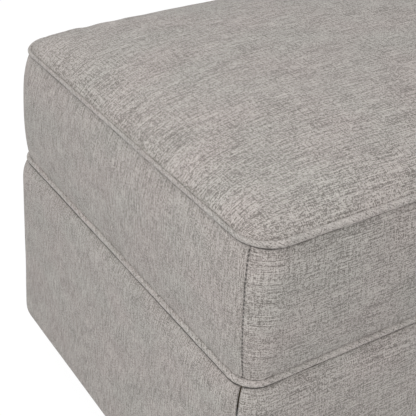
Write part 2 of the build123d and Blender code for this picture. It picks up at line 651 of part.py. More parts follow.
def ottoman():
    """Every piece of the ottoman by its name: a solid, or a list of like solids."""
    pieces = {
        "rail_end_caps": rail_end_caps(),
        "rail_bolts": rail_bolts(),
        "rail_nuts": rail_nuts(),
        "floor_glides": floor_glides(),
        "stop_bumpers": stop_bumpers(),
        "hanger_screws": hanger_screws(),
        "webbing_lengthwise": webbing(True),
        "webbing_crosswise": webbing(False),
        "foam_core": foam_core(COVER_THICKNESS + WRAP_THICKNESS + 2 * SOFT_GAP),
        "fibre_wrap": fibre_wrap(),
        "skirt_padding": skirt_padding(),
        "cover_top": cover_top(),
        "top_welt": welt(0, TOP_WELT_Z, CUSHION_CORNER_RADIUS),
        "mid_welt": welt(MID_WELT_OUTSET, MID_WELT_Z, SKIRT_CORNER_RADIUS),
        "dust_cover": dust_cover(),
    }
    for word, sign in (("left", -1), ("right", 1)):
        pieces[f"base_rail_{word}"] = base_rail(sign)
        pieces[f"pivot_plate_{word}"] = pivot_plate(sign)
        pieces[f"hanger_plate_{word}"] = hanger_plate(sign)
        pieces[f"frame_cleat_{word}"] = cleat(sign)
    for word, sign in (("front", -1), ("rear", 1)):
        pieces[f"cross_rail_{word}"] = cross_rail(sign)
    for side in SIDE_TURN:
        pieces[f"frame_panel_{side}"] = frame_panel(side)
        pieces[f"cushion_band_{side}"] = cushion_band(side)
        pieces[f"skirt_{side}"] = skirt_panel(side)
    for name, (side, end) in CORNERS.items():
        pieces[f"frame_post_{name}"] = corner_post(side, end)
        pieces[f"swing_link_{name}"] = swing_link(side, end)
        pieces[f"link_bearings_{name}"] = link_bearings(name)
    for level, pivot in (("upper", upper_pivot), ("lower", lower_pivot)):
        fasteners = [pivot(name) for name in CORNERS]
        for place, kind in enumerate(("bolts", "spacers", "nuts")):
            pieces[f"{level}_pivot_{kind}"] = [group[place] for group in fasteners]
    return pieces


os.makedirs("parts", exist_ok=True)
for name, piece in ottoman().items():
    solid = Compound(children=piece) if isinstance(piece, list) else piece
    export_step(solid, f"parts/{name}.step")
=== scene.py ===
"""Glider ottoman: its cover, padding, base finishes and studio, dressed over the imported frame."""

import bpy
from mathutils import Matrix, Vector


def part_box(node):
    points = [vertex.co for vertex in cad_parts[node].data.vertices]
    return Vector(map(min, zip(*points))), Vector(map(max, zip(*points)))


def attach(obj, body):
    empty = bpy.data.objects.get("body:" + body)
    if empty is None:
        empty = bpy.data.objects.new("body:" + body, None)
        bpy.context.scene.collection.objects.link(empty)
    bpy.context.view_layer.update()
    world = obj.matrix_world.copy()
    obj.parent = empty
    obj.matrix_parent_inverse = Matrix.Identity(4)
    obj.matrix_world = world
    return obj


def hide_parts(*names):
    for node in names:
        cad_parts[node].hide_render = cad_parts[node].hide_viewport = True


bl_info = {
    "name": "Glider ottoman",
    "version": (1, 0, 0),
    "blender": (4, 5, 0),
    "location": "View3D > Sidebar > Ottoman",
    "description": "Dresses an upholstered glider ottoman: cushion, piping, lower panels, padding and base",
    "category": "Object",
}

from math import atan2, ceil, copysign, cos, exp, hypot, pi, radians, sin, sqrt

import bmesh
import bpy
from bpy.props import FloatProperty, FloatVectorProperty, PointerProperty
from mathutils import Matrix, Vector, noise

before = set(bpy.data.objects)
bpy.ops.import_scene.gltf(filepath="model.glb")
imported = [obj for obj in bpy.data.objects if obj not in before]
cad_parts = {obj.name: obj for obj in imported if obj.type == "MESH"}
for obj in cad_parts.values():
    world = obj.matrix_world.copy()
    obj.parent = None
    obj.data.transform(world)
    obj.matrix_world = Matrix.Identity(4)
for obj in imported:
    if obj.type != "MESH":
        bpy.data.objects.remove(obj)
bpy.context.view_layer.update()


def cord_line(node):
    """Half length, half depth and height of a piping's centre line, and its radius."""
    low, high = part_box(node)
    radius = (high.z - low.z) / 2
    return high.x - radius, high.y - radius, (high.z + low.z) / 2, radius


# An outset is a distance out from the top piping's line, seen from above. A flank is the left or the right side.
TOP_HALF_X, TOP_HALF_Y, TOP_Z, CORD_RADIUS = cord_line("top_welt")
MID_HALF_X, MID_HALF_Y, MID_Z, _ = cord_line("mid_welt")
MID_OUTSET = MID_HALF_X - TOP_HALF_X
TOP_SEAM_Z, LOW_SEAM_Z = TOP_Z + 0.001, MID_Z + 0.0005
SEAM_ANGLE = radians(57.5)  # how far round its corner each upright seam runs
SEAM_WIDTH = 0.0025  # how wide the cloth is drawn in along an upright seam
FLANK_WEAVE = 2.0  # how much finer the weave is up a flank
FLANK_TUCK = 0.36  # share of the top cord that is drawn in along a flank; it also scales the painted shade along the flanks
MARK_LIMIT = 0.02  # the furthest distance that the seam marks and the painted-shade marks hold
FOOT_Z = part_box("skirt_front")[0].z
PANEL_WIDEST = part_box("skirt_right")[1].x - TOP_HALF_X
PANEL_FLARE = 0.0065  # how much further out the lower panels stand at the foot than at their shoulder
TUCK_LINE = -0.003  # the outset where a lower panel has turned in under the box
SIDES = {"front": 0, "right": 90, "rear": 180, "left": 270}
LONG_SIDES = ("front", "rear")
CORNERS = ("front_left", "front_right", "rear_left", "rear_right")
# Waves of the sewn cover's unevenness: each one's length, height and seed. The cord's heights are in metres, and
# the others are shares of the cover's softness or pucker.
CUSHION_SWELLS = ((0.085, 1.0, 2.0), (0.040, 0.5, 5.0))
CUSHION_PUCKERS = ((0.013, 1.0, 11.0), (0.026, 0.6, 13.0))
PANEL_SWELLS = ((0.110, 1.0, 3.0), (0.045, 0.4, 6.0))
CORD_SWELLS = ((0.035, 0.0003, 7.0), (0.012, 0.00015, 9.0))


# ---- sizes and colours that a user would change
METRES = {"subtype": "DISTANCE", "unit": "LENGTH"}
COLOUR = {"subtype": "COLOR", "size": 3, "min": 0, "max": 1}


class OttomanCover(bpy.types.PropertyGroup):
    """The cover and what fills it"""

    yarn_colour: FloatVectorProperty(
        name="Yarn", description="Colour of the light yarn of the cover", default=(0.475, 0.445, 0.420), **COLOUR)
    fleck_colour: FloatVectorProperty(
        name="Flecks", description="Colour of the dark flecks in the yarn", default=(0.165, 0.150, 0.136), **COLOUR)
    cushion_corner: FloatProperty(
        name="Cushion corner", description="Corner radius at the top piping", default=0.032, min=0.005, max=0.1,
        **METRES)
    panel_corner: FloatProperty(
        name="Box corner", description="Corner radius of the box, on the top piping's line", default=0.019,
        min=0.002, max=0.1, **METRES)
    seam_depth: FloatProperty(
        name="Seam depth", description="How deep the upright corner seams are drawn in", default=0.0014,
        min=0, max=0.01, **METRES)
    softness: FloatProperty(
        name="Softness", description="Height of the gentle unevenness of the padding", default=0.0008,
        min=0, max=0.01, **METRES)
    pucker: FloatProperty(
        name="Pucker", description="Height of the small puckers along the piping", default=0.0003,
        min=0, max=0.005, **METRES)
    pressure: FloatProperty(
        name="Filling pressure", description="Pressure that swells the cushion while it is simulated",
        default=6.0, min=0, max=50)
    swell_limit: FloatProperty(
        name="Swell limit", description="The furthest that the swollen cover may lie from its sewn pattern",
        default=0.0016, min=0, max=0.05, **METRES)
    slack: FloatProperty(
        name="Slack", description="Share of the crown that is sewn in before the filling swells it",
        default=0.9, min=0, max=1, subtype="FACTOR")


class OttomanBase(bpy.types.PropertyGroup):
    """The base, the glide and the wooden box"""

    paint_colour: FloatVectorProperty(
        name="Paint", description="Colour of the powder coat on the steel", default=(0.018, 0.018, 0.019), **COLOUR)
    zinc_colour: FloatVectorProperty(
        name="Zinc", description="Colour of the plated bolts, nuts and screws", default=(0.60, 0.60, 0.57), **COLOUR)
    birch_colour: FloatVectorProperty(
        name="Birch", description="Colour of the plywood and the hardwood", default=(0.62, 0.45, 0.27), **COLOUR)
    ply: FloatProperty(
        name="Ply", description="Thickness of one layer of the plywood", default=0.0015, min=0.0005, max=0.01,
        **METRES)
    staple_spacing: FloatProperty(
        name="Staple spacing", description="Distance between the staples of the dust cloth", default=0.040,
        min=0.01, max=0.2, **METRES)


class OttomanStudio(bpy.types.PropertyGroup):
    """Camera and lights"""

    lens: FloatProperty(
        name="Lens", description="Focal length on a 36 mm sensor, in millimetres", default=86.5, min=10, max=400)
    place: FloatVectorProperty(
        name="Camera", description="Where the camera stands", size=3, subtype="TRANSLATION", unit="LENGTH",
        default=(-0.69384, -0.73689, 0.85961))
    yaw: FloatProperty(
        name="Yaw", description="Turn of the view from straight back", subtype="ANGLE", default=radians(32.13))
    pitch: FloatProperty(
        name="Pitch", description="Tilt of the view below level", subtype="ANGLE", default=radians(29.99))
    roll: FloatProperty(
        name="Roll", description="Turn of the picture round the view's line", subtype="ANGLE", default=radians(1.54))
    sky: FloatProperty(
        name="Room light", description="Strength of the even light from all round", default=0.65, min=0, max=5)


# ---- materials
def add(tree, kind, inputs=(), output=0, **settings):
    """Adds a shader node, links or fills its inputs, and returns one of its outputs."""
    item = tree.nodes.new("ShaderNode" + kind)
    for name, value in settings.items():
        setattr(item, name, value)
    for socket, value in dict(inputs).items():
        if isinstance(value, bpy.types.NodeSocket):
            tree.links.new(value, item.inputs[socket])
        else:
            item.inputs[socket].default_value = value
    return item.outputs[output]


def finish_named(name, **surface):
    """A new material with a Principled surface, and its node tree."""
    made = bpy.data.materials.new(name)
    made.use_nodes = True
    shader = made.node_tree.nodes["Principled BSDF"]
    for socket, value in surface.items():
        shader.inputs[socket.replace("_", " ")].default_value = value
    return made, made.node_tree


def mixed(tree, factor, one, other, how="MIX"):
    """Colour between two colours."""
    return add(tree, "Mix", {0: factor, 6: one, 7: other}, output=2, data_type="RGBA", blend_type=how)


def reckon(tree, operation, one, other=0.0, third=0.0):
    """One step of arithmetic on numbers."""
    return add(tree, "Math", {0: one, 1: other, 2: third}, operation=operation)


def spread(tree, value, low, high, to_low=0.0, to_high=1.0):
    """A number's range stretched to another, held at its ends."""
    return add(tree, "MapRange", {0: value, 1: low, 2: high, 3: to_low, 4: to_high})


def scaled(tree, coordinates, scale, turn=0.0):
    """Coordinates stretched by a factor on each axis, after a turn in their plane."""
    return add(tree, "Mapping", {"Vector": coordinates, "Rotation": (0, 0, turn), "Scale": scale})


def speckle(tree, coordinates, scale, detail=2.0, rough=0.5, twist=0.0):
    """Soft noise from 0 to 1, on coordinates stretched by a factor on each axis."""
    return add(tree, "TexNoise", {"Vector": scaled(tree, coordinates, scale), "Scale": 1.0, "Detail": detail,
                                  "Roughness": rough, "Distortion": twist})


def here(tree):
    """Object coordinates, which are the frame's own metres."""
    return add(tree, "TexCoord", output="Object")


def axis_of(tree, coordinates, axis):
    """One coordinate on its own."""
    return add(tree, "SeparateXYZ", {0: coordinates}, output="XYZ".index(axis))


def rgba(colour, factor=1.0):
    return (*[channel * factor for channel in colour], 1.0)


def dressed(made, colour, roughness=None, bump=()):
    """Links a worked-out colour, roughness and bump (height, distance, strength) to a material, and returns it."""
    tree = made.node_tree
    shader = tree.nodes["Principled BSDF"]
    tree.links.new(colour, shader.inputs["Base Color"])
    if roughness is not None:
        tree.links.new(roughness, shader.inputs["Roughness"])
    normal = add(tree, "Bump", dict(zip(("Height", "Distance", "Strength"), bump)))
    tree.links.new(normal, shader.inputs["Normal"])
    return made


def heathered_tweed(cover, turn=0.0, highlight_and_calm=0.0, name="heathered_tweed"):
    """Flat-woven tweed: slubs along the cloth, short flecks across it, and a faintly uneven dye."""
    made, tree = finish_named(name, Roughness=0.92, Specular_IOR_Level=0.25, Sheen_Weight=0.12, Sheen_Roughness=0.6)
    cloth = add(tree, "UVMap", uv_map="cloth")
    if turn:
        cloth = scaled(tree, cloth, (1, 1, 1), turn)
    weft, warp, slubs, long_slubs, tint = [speckle(tree, cloth, (*scale, 1), 1) for scale in (
        (26, 1040), (1040, 50), (330, 900), (44, 860), (11, 16))]
    grain = speckle(tree, cloth, (820, 760, 1), 1, 0.9)
    blend = speckle(tree, cloth, (300, 330, 1), 1, 0.6)
    patches = speckle(tree, cloth, (18, 36, 1))

    yarn = grain
    for part, weight in ((warp, 0.38), (weft, 0.48), (slubs, 0.40), (blend, 0.42), (patches, 0.15)):
        yarn = reckon(tree, "MULTIPLY_ADD", part, weight, yarn)
    # this setting lightens the yarn, a painted highlight for the piping's cloth, and also softens its flecks and its
    # bump
    light = spread(tree, yarn, 1.28 - highlight_and_calm, 1.51 - highlight_and_calm / 2)
    colour = mixed(tree, light, rgba(cover.fleck_colour), rgba(cover.yarn_colour))
    streak = spread(tree, long_slubs, 0.57, 0.68, 0.0, 0.45)
    colour = mixed(tree, streak, colour, rgba(cover.fleck_colour, 0.8))
    pale = spread(tree, long_slubs, 0.42, 0.30, 0.0, 0.35)
    colour = mixed(tree, pale, colour, rgba(cover.yarn_colour, 1.4))
    warm = mixed(tree, spread(tree, tint, 0.35, 0.65), (1.015, 0.988, 0.99, 1), (0.988, 1.0, 0.992, 1))
    colour = mixed(tree, 1.0, colour, warm, "MULTIPLY")
    # painted shade: the colour darkens towards the flecks where this mark is small, in the creases beside the piping
    # and along the top piping's flanks
    painted_shade = add(tree, "Attribute", output="Fac", attribute_name="painted_shade")
    shade = spread(tree, painted_shade, 0.0013, 0.0028, 0.80, 0.0)
    colour = mixed(tree, shade, colour, rgba(cover.fleck_colour, 0.30))
    seam = add(tree, "Attribute", output="Fac", attribute_name="seam")
    stitch = add(tree, "TexWave", {"Vector": here(tree), "Scale": 78.0}, output="Fac", bands_direction="Z")
    line = spread(tree, reckon(tree, "ABSOLUTE", seam), 0.0011, 0.0004)
    line = reckon(tree, "MULTIPLY", line, spread(tree, stitch, 0.2, 0.7, 0.35, 0.85))
    colour = mixed(tree, line, colour, rgba(cover.fleck_colour, 0.2))
    return dressed(made, colour, bump=(yarn, 0.0008, 0.7 - 3 * highlight_and_calm))


def wadding_finish():
    """White polyester fibre: a soft, tangled web."""
    made, tree = finish_named("polyester_fibre", Roughness=0.98, Specular_IOR_Level=0.15, Sheen_Weight=0.3,
                              Sheen_Roughness=0.7)
    place = here(tree)
    web = speckle(tree, place, (240, 240, 420), 5, 0.7, 2.5)
    clump = speckle(tree, place, (35, 35, 60), 3, 0.5)
    both = reckon(tree, "MULTIPLY_ADD", clump, 0.8, web)
    tangle = spread(tree, both, 0.65, 1.15)
    return dressed(made, mixed(tree, tangle, (0.62, 0.62, 0.60, 1), (0.88, 0.88, 0.87, 1)),
                   bump=(both, 0.003, 0.8))


def foam_finish():
    """Open-cell foam: fine pores and a faint yellowing."""
    made, tree = finish_named("open_cell_foam", Roughness=0.95, Specular_IOR_Level=0.2)
    place = here(tree)
    pores = add(tree, "TexVoronoi", {"Vector": place, "Scale": 620.0}, output="Distance")
    yellowing = speckle(tree, place, (9, 9, 14), 3, 0.5)
    pale = mixed(tree, spread(tree, yellowing, 0.35, 0.65), (0.83, 0.78, 0.60, 1), (0.87, 0.84, 0.72, 1))
    return dressed(made, mixed(tree, spread(tree, pores, 0.05, 0.35), rgba((0.55, 0.50, 0.36)), pale),
                   bump=(pores, 0.0008, 0.6))


def webbing_finish():
    """Woven webbing: a dense herringbone with two coloured lines along each strap."""
    made, tree = finish_named("woven_webbing", Roughness=0.8, Specular_IOR_Level=0.3, Sheen_Weight=0.1)
    strap = add(tree, "UVMap", uv_map="cloth")
    along, across = axis_of(tree, strap, "X"), axis_of(tree, strap, "Y")
    fold = reckon(tree, "ABSOLUTE", reckon(tree, "WRAP", across, 0.004, -0.004))
    slant = reckon(tree, "SINE", reckon(tree, "MULTIPLY", reckon(tree, "ADD", along, fold), 2 * pi / 0.0021))
    rib = reckon(tree, "SINE", reckon(tree, "MULTIPLY", across, 2 * pi / 0.0016))
    weave = reckon(tree, "MULTIPLY_ADD", rib, 0.5, slant)
    soil = speckle(tree, strap, (60, 300, 1), 3, 0.6)
    base = mixed(tree, spread(tree, reckon(tree, "MULTIPLY_ADD", soil, 1.2, weave), -1.0, 1.8),
                 (0.30, 0.24, 0.16, 1), (0.56, 0.47, 0.34, 1))
    from_line = reckon(tree, "ABSOLUTE", reckon(tree, "SUBTRACT", reckon(tree, "ABSOLUTE", across), 0.016))
    return dressed(made, mixed(tree, spread(tree, from_line, 0.0018, 0.0013), base, (0.10, 0.12, 0.20, 1)),
                   bump=(weave, 0.0003, 0.7))


def dust_cloth_finish():
    """Black spun-bonded cloth: tiny pressed dots over matted fibres."""
    made, tree = finish_named("spunbond_cloth", Roughness=0.85, Specular_IOR_Level=0.3, Sheen_Weight=0.15)
    place = scaled(tree, here(tree), (1, 1, 0), radians(45))
    dots = add(tree, "TexVoronoi", {"Vector": place, "Scale": 560.0, "Randomness": 0.0}, output="Distance")
    pressed = spread(tree, dots, 0.22, 0.34)
    fibres = speckle(tree, here(tree), (500, 900, 1), 4, 0.7, 1.5)
    colour = mixed(tree, fibres, (0.010, 0.010, 0.011, 1), (0.042, 0.042, 0.044, 1))
    return dressed(made, colour, spread(tree, pressed, 0, 1, 0.55, 0.9),
                   bump=(reckon(tree, "MULTIPLY_ADD", fibres, 0.3, pressed), 0.0002, 0.8))


def zinc_plate(base):
    """Bright zinc plating: faint cloudy passivation and fine handling marks."""
    made, tree = finish_named("zinc_plate", Metallic=1.0)
    place = here(tree)
    cloud = speckle(tree, place, (160, 160, 160), 3, 0.6)
    marks = speckle(tree, place, (300, 1600, 1600), 3, 0.6)
    colour = mixed(tree, spread(tree, cloud, 0.35, 0.65), rgba(base.zinc_colour), rgba(base.zinc_colour, 0.78))
    return dressed(made, colour, spread(tree, reckon(tree, "MULTIPLY_ADD", marks, 0.5, cloud), 0.5, 1.0, 0.24, 0.46),
                   bump=(marks, 0.0001, 0.4))


def bearing_finish(end_y, height):
    """Sealed ball bearing: ground steel races round a dark pressed shield."""
    made, tree = finish_named("ground_steel_and_shield")
    place = here(tree)
    far_y = reckon(tree, "SUBTRACT", reckon(tree, "ABSOLUTE", axis_of(tree, place, "Y")), end_y)
    middle, half = (height[0] + height[1]) / 2, (height[1] - height[0]) / 2
    far_z = reckon(tree, "SUBTRACT", axis_of(tree, place, "Z"), middle)
    far_z = reckon(tree, "SUBTRACT", reckon(tree, "ABSOLUTE", far_z), half)
    out = reckon(tree, "SQRT", reckon(tree, "ADD", reckon(tree, "MULTIPLY", far_y, far_y),
                                      reckon(tree, "MULTIPLY", far_z, far_z)))
    shield = reckon(tree, "MULTIPLY", spread(tree, out, 0.0060, 0.0063), spread(tree, out, 0.0091, 0.0088))
    rings = reckon(tree, "SINE", reckon(tree, "MULTIPLY", out, 2 * pi / 0.00035))
    wear = speckle(tree, place, (260, 260, 260), 2, 0.5)
    metallic = tree.nodes["Principled BSDF"].inputs["Metallic"]
    tree.links.new(spread(tree, shield, 0, 1, 1.0, 0.25), metallic)
    return dressed(made, mixed(tree, shield, (0.66, 0.66, 0.67, 1), (0.045, 0.045, 0.048, 1)),
                   spread(tree, reckon(tree, "MULTIPLY_ADD", rings, 0.2, wear), 0.2, 0.9, 0.18, 0.42),
                   bump=(rings, 0.00002, 0.5))


def clouded(name, dark, light, cloud, tones, rough, grain, level=0.5):
    """A coated or moulded finish: clouds from one colour and roughness to another over a fine grain."""
    made, tree = finish_named(name, Specular_IOR_Level=level)
    place = here(tree)
    clouds = speckle(tree, place, *cloud)
    grains = speckle(tree, place, (grain[0],) * 3, 2, grain[1])
    return dressed(made, mixed(tree, spread(tree, clouds, *tones), dark, light), spread(tree, clouds, *rough),
                   bump=(grains, 0.0002, 0.5))


def powder_coat(base):
    """Black powder coat on steel: a fine orange peel, a little dust in it."""
    return clouded("black_powder_coat", rgba(base.paint_colour), rgba(base.paint_colour, 2.4),
                   ((28, 28, 60), 4, 0.6), (0.45, 0.8), (0.3, 0.8, 0.34, 0.58), (700, 0.5))


def moulded_finish(name, dark, light, roughness, grain):
    """Moulded rubber or plastic: a fine spark-eroded grain and a soft bloom."""
    return clouded(name, dark, light, ((70, 70, 70), 3, 0.5), (0.4, 0.75),
                   (0.2, 0.8, roughness - 0.08, roughness + 0.1), (grain, 0.6), 0.4)


def sawn_wood(base, name, grain, ply_axis=None):
    """Birch, sawn and lightly sanded, with its grain along an axis; plywood shows its layers on its edges."""
    made, tree = finish_named(name, Specular_IOR_Level=0.3)
    place = here(tree)
    long_way = tuple(4 if axis == grain else 70 for axis in "XYZ")
    figure = speckle(tree, place, long_way, 4, 0.6, 0.8)
    pores = speckle(tree, place, tuple(30 if axis == grain else 1100 for axis in "XYZ"), 2, 0.6)
    colour = mixed(tree, spread(tree, figure, 0.35, 0.68), rgba(base.birch_colour, 0.72), rgba(base.birch_colour, 1.1))
    colour = mixed(tree, spread(tree, pores, 0.62, 0.75, 0.0, 0.5), colour, rgba(base.birch_colour, 0.4))
    height = reckon(tree, "MULTIPLY_ADD", pores, -0.6, figure)
    if ply_axis:
        layer = reckon(tree, "MULTIPLY", reckon(tree, "ABSOLUTE", axis_of(tree, place, ply_axis)), pi / base.ply)
        bands = spread(tree, reckon(tree, "SINE", layer), -0.3, 0.3)
        edge = reckon(tree, "ABSOLUTE", axis_of(tree, add(tree, "NewGeometry", output="Normal"), ply_axis))
        shown = reckon(tree, "MULTIPLY", bands, spread(tree, edge, 0.6, 0.3))
        colour = mixed(tree, reckon(tree, "MULTIPLY", shown, 0.6), colour, rgba(base.birch_colour, 0.45))
    return dressed(made, colour, spread(tree, figure, 0.3, 0.7, 0.62, 0.8), bump=(height, 0.0003, 0.6))


# ---- shapes
def held(value, low=0.0, high=1.0):
    return min(max(value, low), high)


def rounded(x, y, half_x, half_y, radius):
    """Where a point of a rectangle goes when the rectangle's corners are rounded."""
    dx, dy = abs(x) - (half_x - radius), abs(y) - (half_y - radius)
    if dx > 0 and dy > 0:
        x = copysign(half_x - radius + dx * sqrt(1 - (dy / radius) ** 2 / 2), x)
        y = copysign(half_y - radius + dy * sqrt(1 - (dx / radius) ** 2 / 2), y)
    return x, y


def inside_by(x, y, half_x, half_y, radius):
    """How far a point lies inside a rounded rectangle."""
    dx, dy = abs(x) - (half_x - radius), abs(y) - (half_y - radius)
    return radius - hypot(max(dx, 0), max(dy, 0)) - min(max(dx, dy), 0)


def eased(place, ends):
    """A grid place from -1 to 1, drawn towards both ends."""
    return place + ends * sin(pi * place) / pi


def ripple(place, length, seed):
    """Smooth noise from -1 to 1 at a point, with waves about this long."""
    return noise.noise(Vector(place) / length + Vector((seed, 3.7 * seed, 1.3 * seed)))


def waves(place, parts):
    """Several ripples laid over each other, each given as its length, height and seed."""
    return sum(height * ripple(place, length, seed) for length, height, seed in parts)


def piece_from(mesh_builder, name, material, pointed=False):
    """Makes a bmesh an object in the scene, at the origin, with its faces pointed outwards if they aren't yet."""
    if not pointed:
        bmesh.ops.recalc_face_normals(mesh_builder, faces=mesh_builder.faces[:])
    mesh = bpy.data.meshes.new(name)
    mesh_builder.to_mesh(mesh)
    mesh_builder.free()
    mesh.materials.append(material)
    mesh.shade_smooth()
    made = bpy.data.objects.new(name, mesh)
    bpy.context.scene.collection.objects.link(made)
    return made


def applied(piece):
    """Applies every modifier of a piece to its mesh."""
    bpy.context.view_layer.update()
    graph = bpy.context.evaluated_depsgraph_get()
    mesh = bpy.data.meshes.new_from_object(piece.evaluated_get(graph), preserve_all_data_layers=True, depsgraph=graph)
    piece.modifiers.clear()
    old, piece.data = piece.data, mesh
    bpy.data.meshes.remove(old)


def finer(piece):
    """Subdivides a piece once into a smoother surface."""
    modifier = piece.modifiers.new("finer", "SUBSURF")
    modifier.levels = modifier.render_levels = 1
    applied(piece)


def walled(piece, thickness, offset=-1.0):
    """Gives a sheet its thickness."""
    modifier = piece.modifiers.new("wall", "SOLIDIFY")
    modifier.thickness, modifier.offset = thickness, offset
    applied(piece)


def ridden(piece, slot, *nodes, body="box"):
    """A finished piece rides on its body and hides the CAD nodes that it stands for; its slot is not used."""
    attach(piece, body)
    if nodes:
        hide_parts(*nodes)


def finished_with(material, *nodes):
    """Gives CAD nodes a finish."""
    for name in nodes:
        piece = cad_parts[name]
        if not piece.material_slots:
            piece.data.materials.append(material)
        for holder in piece.material_slots:
            holder.material = material


def block_grid(cells):
    """A unit block from -1 to 1, cut into cells along each axis."""
    block = bmesh.new()
    bmesh.ops.create_cube(block, size=2)
    for axis, count in enumerate(cells):
        along = [edge for edge in block.edges
                 if abs(edge.verts[0].co[axis] - edge.verts[1].co[axis]) > 1e-6]
        bmesh.ops.subdivide_edges(block, edges=along, cuts=count - 1, use_grid_fill=True)
    for vert in block.verts:
        a, b, c = vert.co
        vert.co = (eased(a, 0.4), eased(b, 0.4), eased(c, 0.7))
    return block


def ring_place(share, half_x, half_y, radius):
    """A point on a rounded rectangle at a share of its length, and the outward direction there."""
    runs = []
    for side in range(4):
        straight = 2 * ((half_x if side % 2 == 0 else half_y) - radius)
        runs += [("straight", straight, side), ("corner", radius * pi / 2, side)]
    distance = (share % 1.0) * sum(run[1] for run in runs)
    for kind, length, side in runs:
        if distance <= length:
            break
        distance -= length
    reach, half = (half_y, half_x) if side % 2 == 0 else (half_x, half_y)
    if kind == "straight":
        point, outward = Vector((distance - (half - radius), -reach, 0)), Vector((0, -1, 0))
    else:
        angle = distance / radius
        outward = Vector((sin(angle), -cos(angle), 0))
        point = Vector((half - radius, -(reach - radius), 0)) + outward * radius
    spin = Matrix.Rotation(side * pi / 2, 3, "Z")
    return spin @ point, spin @ outward


def ring_length(half_x, half_y, radius):
    return 4 * (half_x + half_y - 2 * radius) + 2 * pi * radius


# ---- cushion
def cushion_outset(share):
    """Outset of the cushion's side, from the middle piping at 0 to the top piping at 1."""
    peak, bulge, fullness, seam_inset, low_lip = 0.64, 0.0083, 2.7, 0.002, 0.0012
    off = (share - peak) / (1 - peak) if share > peak else (peak - share) / peak
    return MID_OUTSET * (1 - share) - seam_inset + low_lip * (1 - share) ** 8 + bulge * (1 - off ** fullness)


def crown_height(x, y, half_x, half_y, radius, fullness=1.0):
    """Height of the cushion's top above its seam: a rolled edge, flatter at the front piping, then a slow dome."""
    roll_width, roll_height, corner_loss, dome_width, dome_height = 0.0335, 0.0134, 0.0055, 0.173, 0.0230
    corner_width, front_width, round_roll, flatter = 0.06, 0.05, 0.5, 0.28
    roll = 1 - held(inside_by(x, y, half_x, half_y, radius) / roll_width)
    dome = corner = 1.0
    for distance in (half_x - abs(x), half_y - abs(y)):
        dome *= 1 - (1 - held(distance / dome_width)) ** 2.17
        corner *= 1 - held(distance / corner_width)
    front = (1 - held((half_y + y) / front_width)) * held((half_x - abs(x)) / corner_width)
    rise = (1 - roll ** 2) ** (round_roll + flatter * front)
    return (roll_height - corner_loss * corner) * rise * fullness ** 0.5 + dome_height * dome * fullness


def cushion_form(cells, corner, low_corner, depth=0.0, fullness=1.0):
    """The boxed cushion: full sides between its two seams and a crowned top, this deep under its cover."""
    block = block_grid(cells)
    cloth = block.loops.layers.uv.new("cloth")
    low_z, high_z = LOW_SEAM_Z, TOP_SEAM_Z - depth
    past_corner = 0.24 * corner  # how far from the corner its seam ends a flank
    for face in block.faces:
        normal, middle = face.normal.copy(), face.calc_center_median()
        on_flank = abs(normal.x) > 0.5
        if middle.x * middle.y > 0:
            flank = on_flank and TOP_HALF_Y * (1 - abs(middle.y)) > past_corner
        else:
            flank = on_flank or TOP_HALF_X * (1 - abs(middle.x)) < past_corner
        for loop in face.loops:
            a, b, c = loop.vert.co
            x, y, z = a * TOP_HALF_X, b * TOP_HALF_Y, (c + 1) / 2 * (TOP_Z - MID_Z)
            if abs(normal.z) > 0.5:
                loop[cloth].uv = (x, y)
                continue
            along = copysign(TOP_HALF_X + TOP_HALF_Y + y, normal.x) if on_flank else x
            if not on_flank and normal.y > 0:
                along = 2 * (TOP_HALF_X + TOP_HALF_Y) - x
            loop[cloth].uv = (FLANK_WEAVE * z + 7, along) if flank else (along + 3, z)
    for vert in block.verts:
        a, b, c = vert.co
        share = (c + 1) / 2
        side = max(abs(a), abs(b)) > 1 - 1e-6
        slack = 0.016 * (1 - fullness) * share * (1 - share)
        outset = cushion_outset(share) - depth - slack
        radius = max(low_corner * (1 - share) + corner * share + outset, 0.006)
        half_x, half_y = TOP_HALF_X + outset, TOP_HALF_Y + outset
        x, y = rounded(a * half_x, b * half_y, half_x, half_y, radius)
        z = low_z + (high_z - low_z) * share
        if c > 1 - 1e-6 and not side:
            z = high_z + crown_height(x, y, half_x, half_y, radius, fullness)
        vert.co = (x, y, z)
    return block


CLOTH = {"quality": 6, "mass": 0.25, "tension_stiffness": 18, "compression_stiffness": 18, "shear_stiffness": 8,
         "bending_stiffness": 2.0, "tension_damping": 12, "compression_damping": 12, "use_pressure": True,
         "vertex_group_mass": "seams", "pin_stiffness": 4, "shrink_min": -0.012}


def swollen(piece, pinned, pattern, pressure, limit, frames=20):
    """Swells a piece by cloth simulation between its pinned seams, and keeps each point near its sewn pattern."""
    group = piece.vertex_groups.new(name="seams")
    group.add(pinned, 1.0, "REPLACE")
    modifier = piece.modifiers.new("filling", "CLOTH")
    for name, value in CLOTH.items():
        setattr(modifier.settings, name, value)
    modifier.settings.uniform_pressure_force = pressure
    modifier.settings.effector_weights.gravity = 0
    modifier.collision_settings.use_collision = False
    modifier.collision_settings.use_self_collision = False
    modifier.point_cache.frame_start = 1
    modifier.point_cache.frame_end = frames
    for step in range(1, frames + 1):
        bpy.context.scene.frame_set(step)
    applied(piece)
    bpy.context.scene.frame_set(1)
    offs = []
    for vert, sewn in zip(piece.data.vertices, pattern):
        off = vert.co - sewn
        offs.append(off.length)
        if off.length > 1e-9:
            vert.co = sewn + off * (limit * (1 - exp(-off.length / limit)) / off.length)
    offs.sort()
    print("swollen cover off its pattern, mm: middle", round(offs[len(offs) // 2] * 1000, 2),
          "most", round(offs[-1] * 1000, 2))


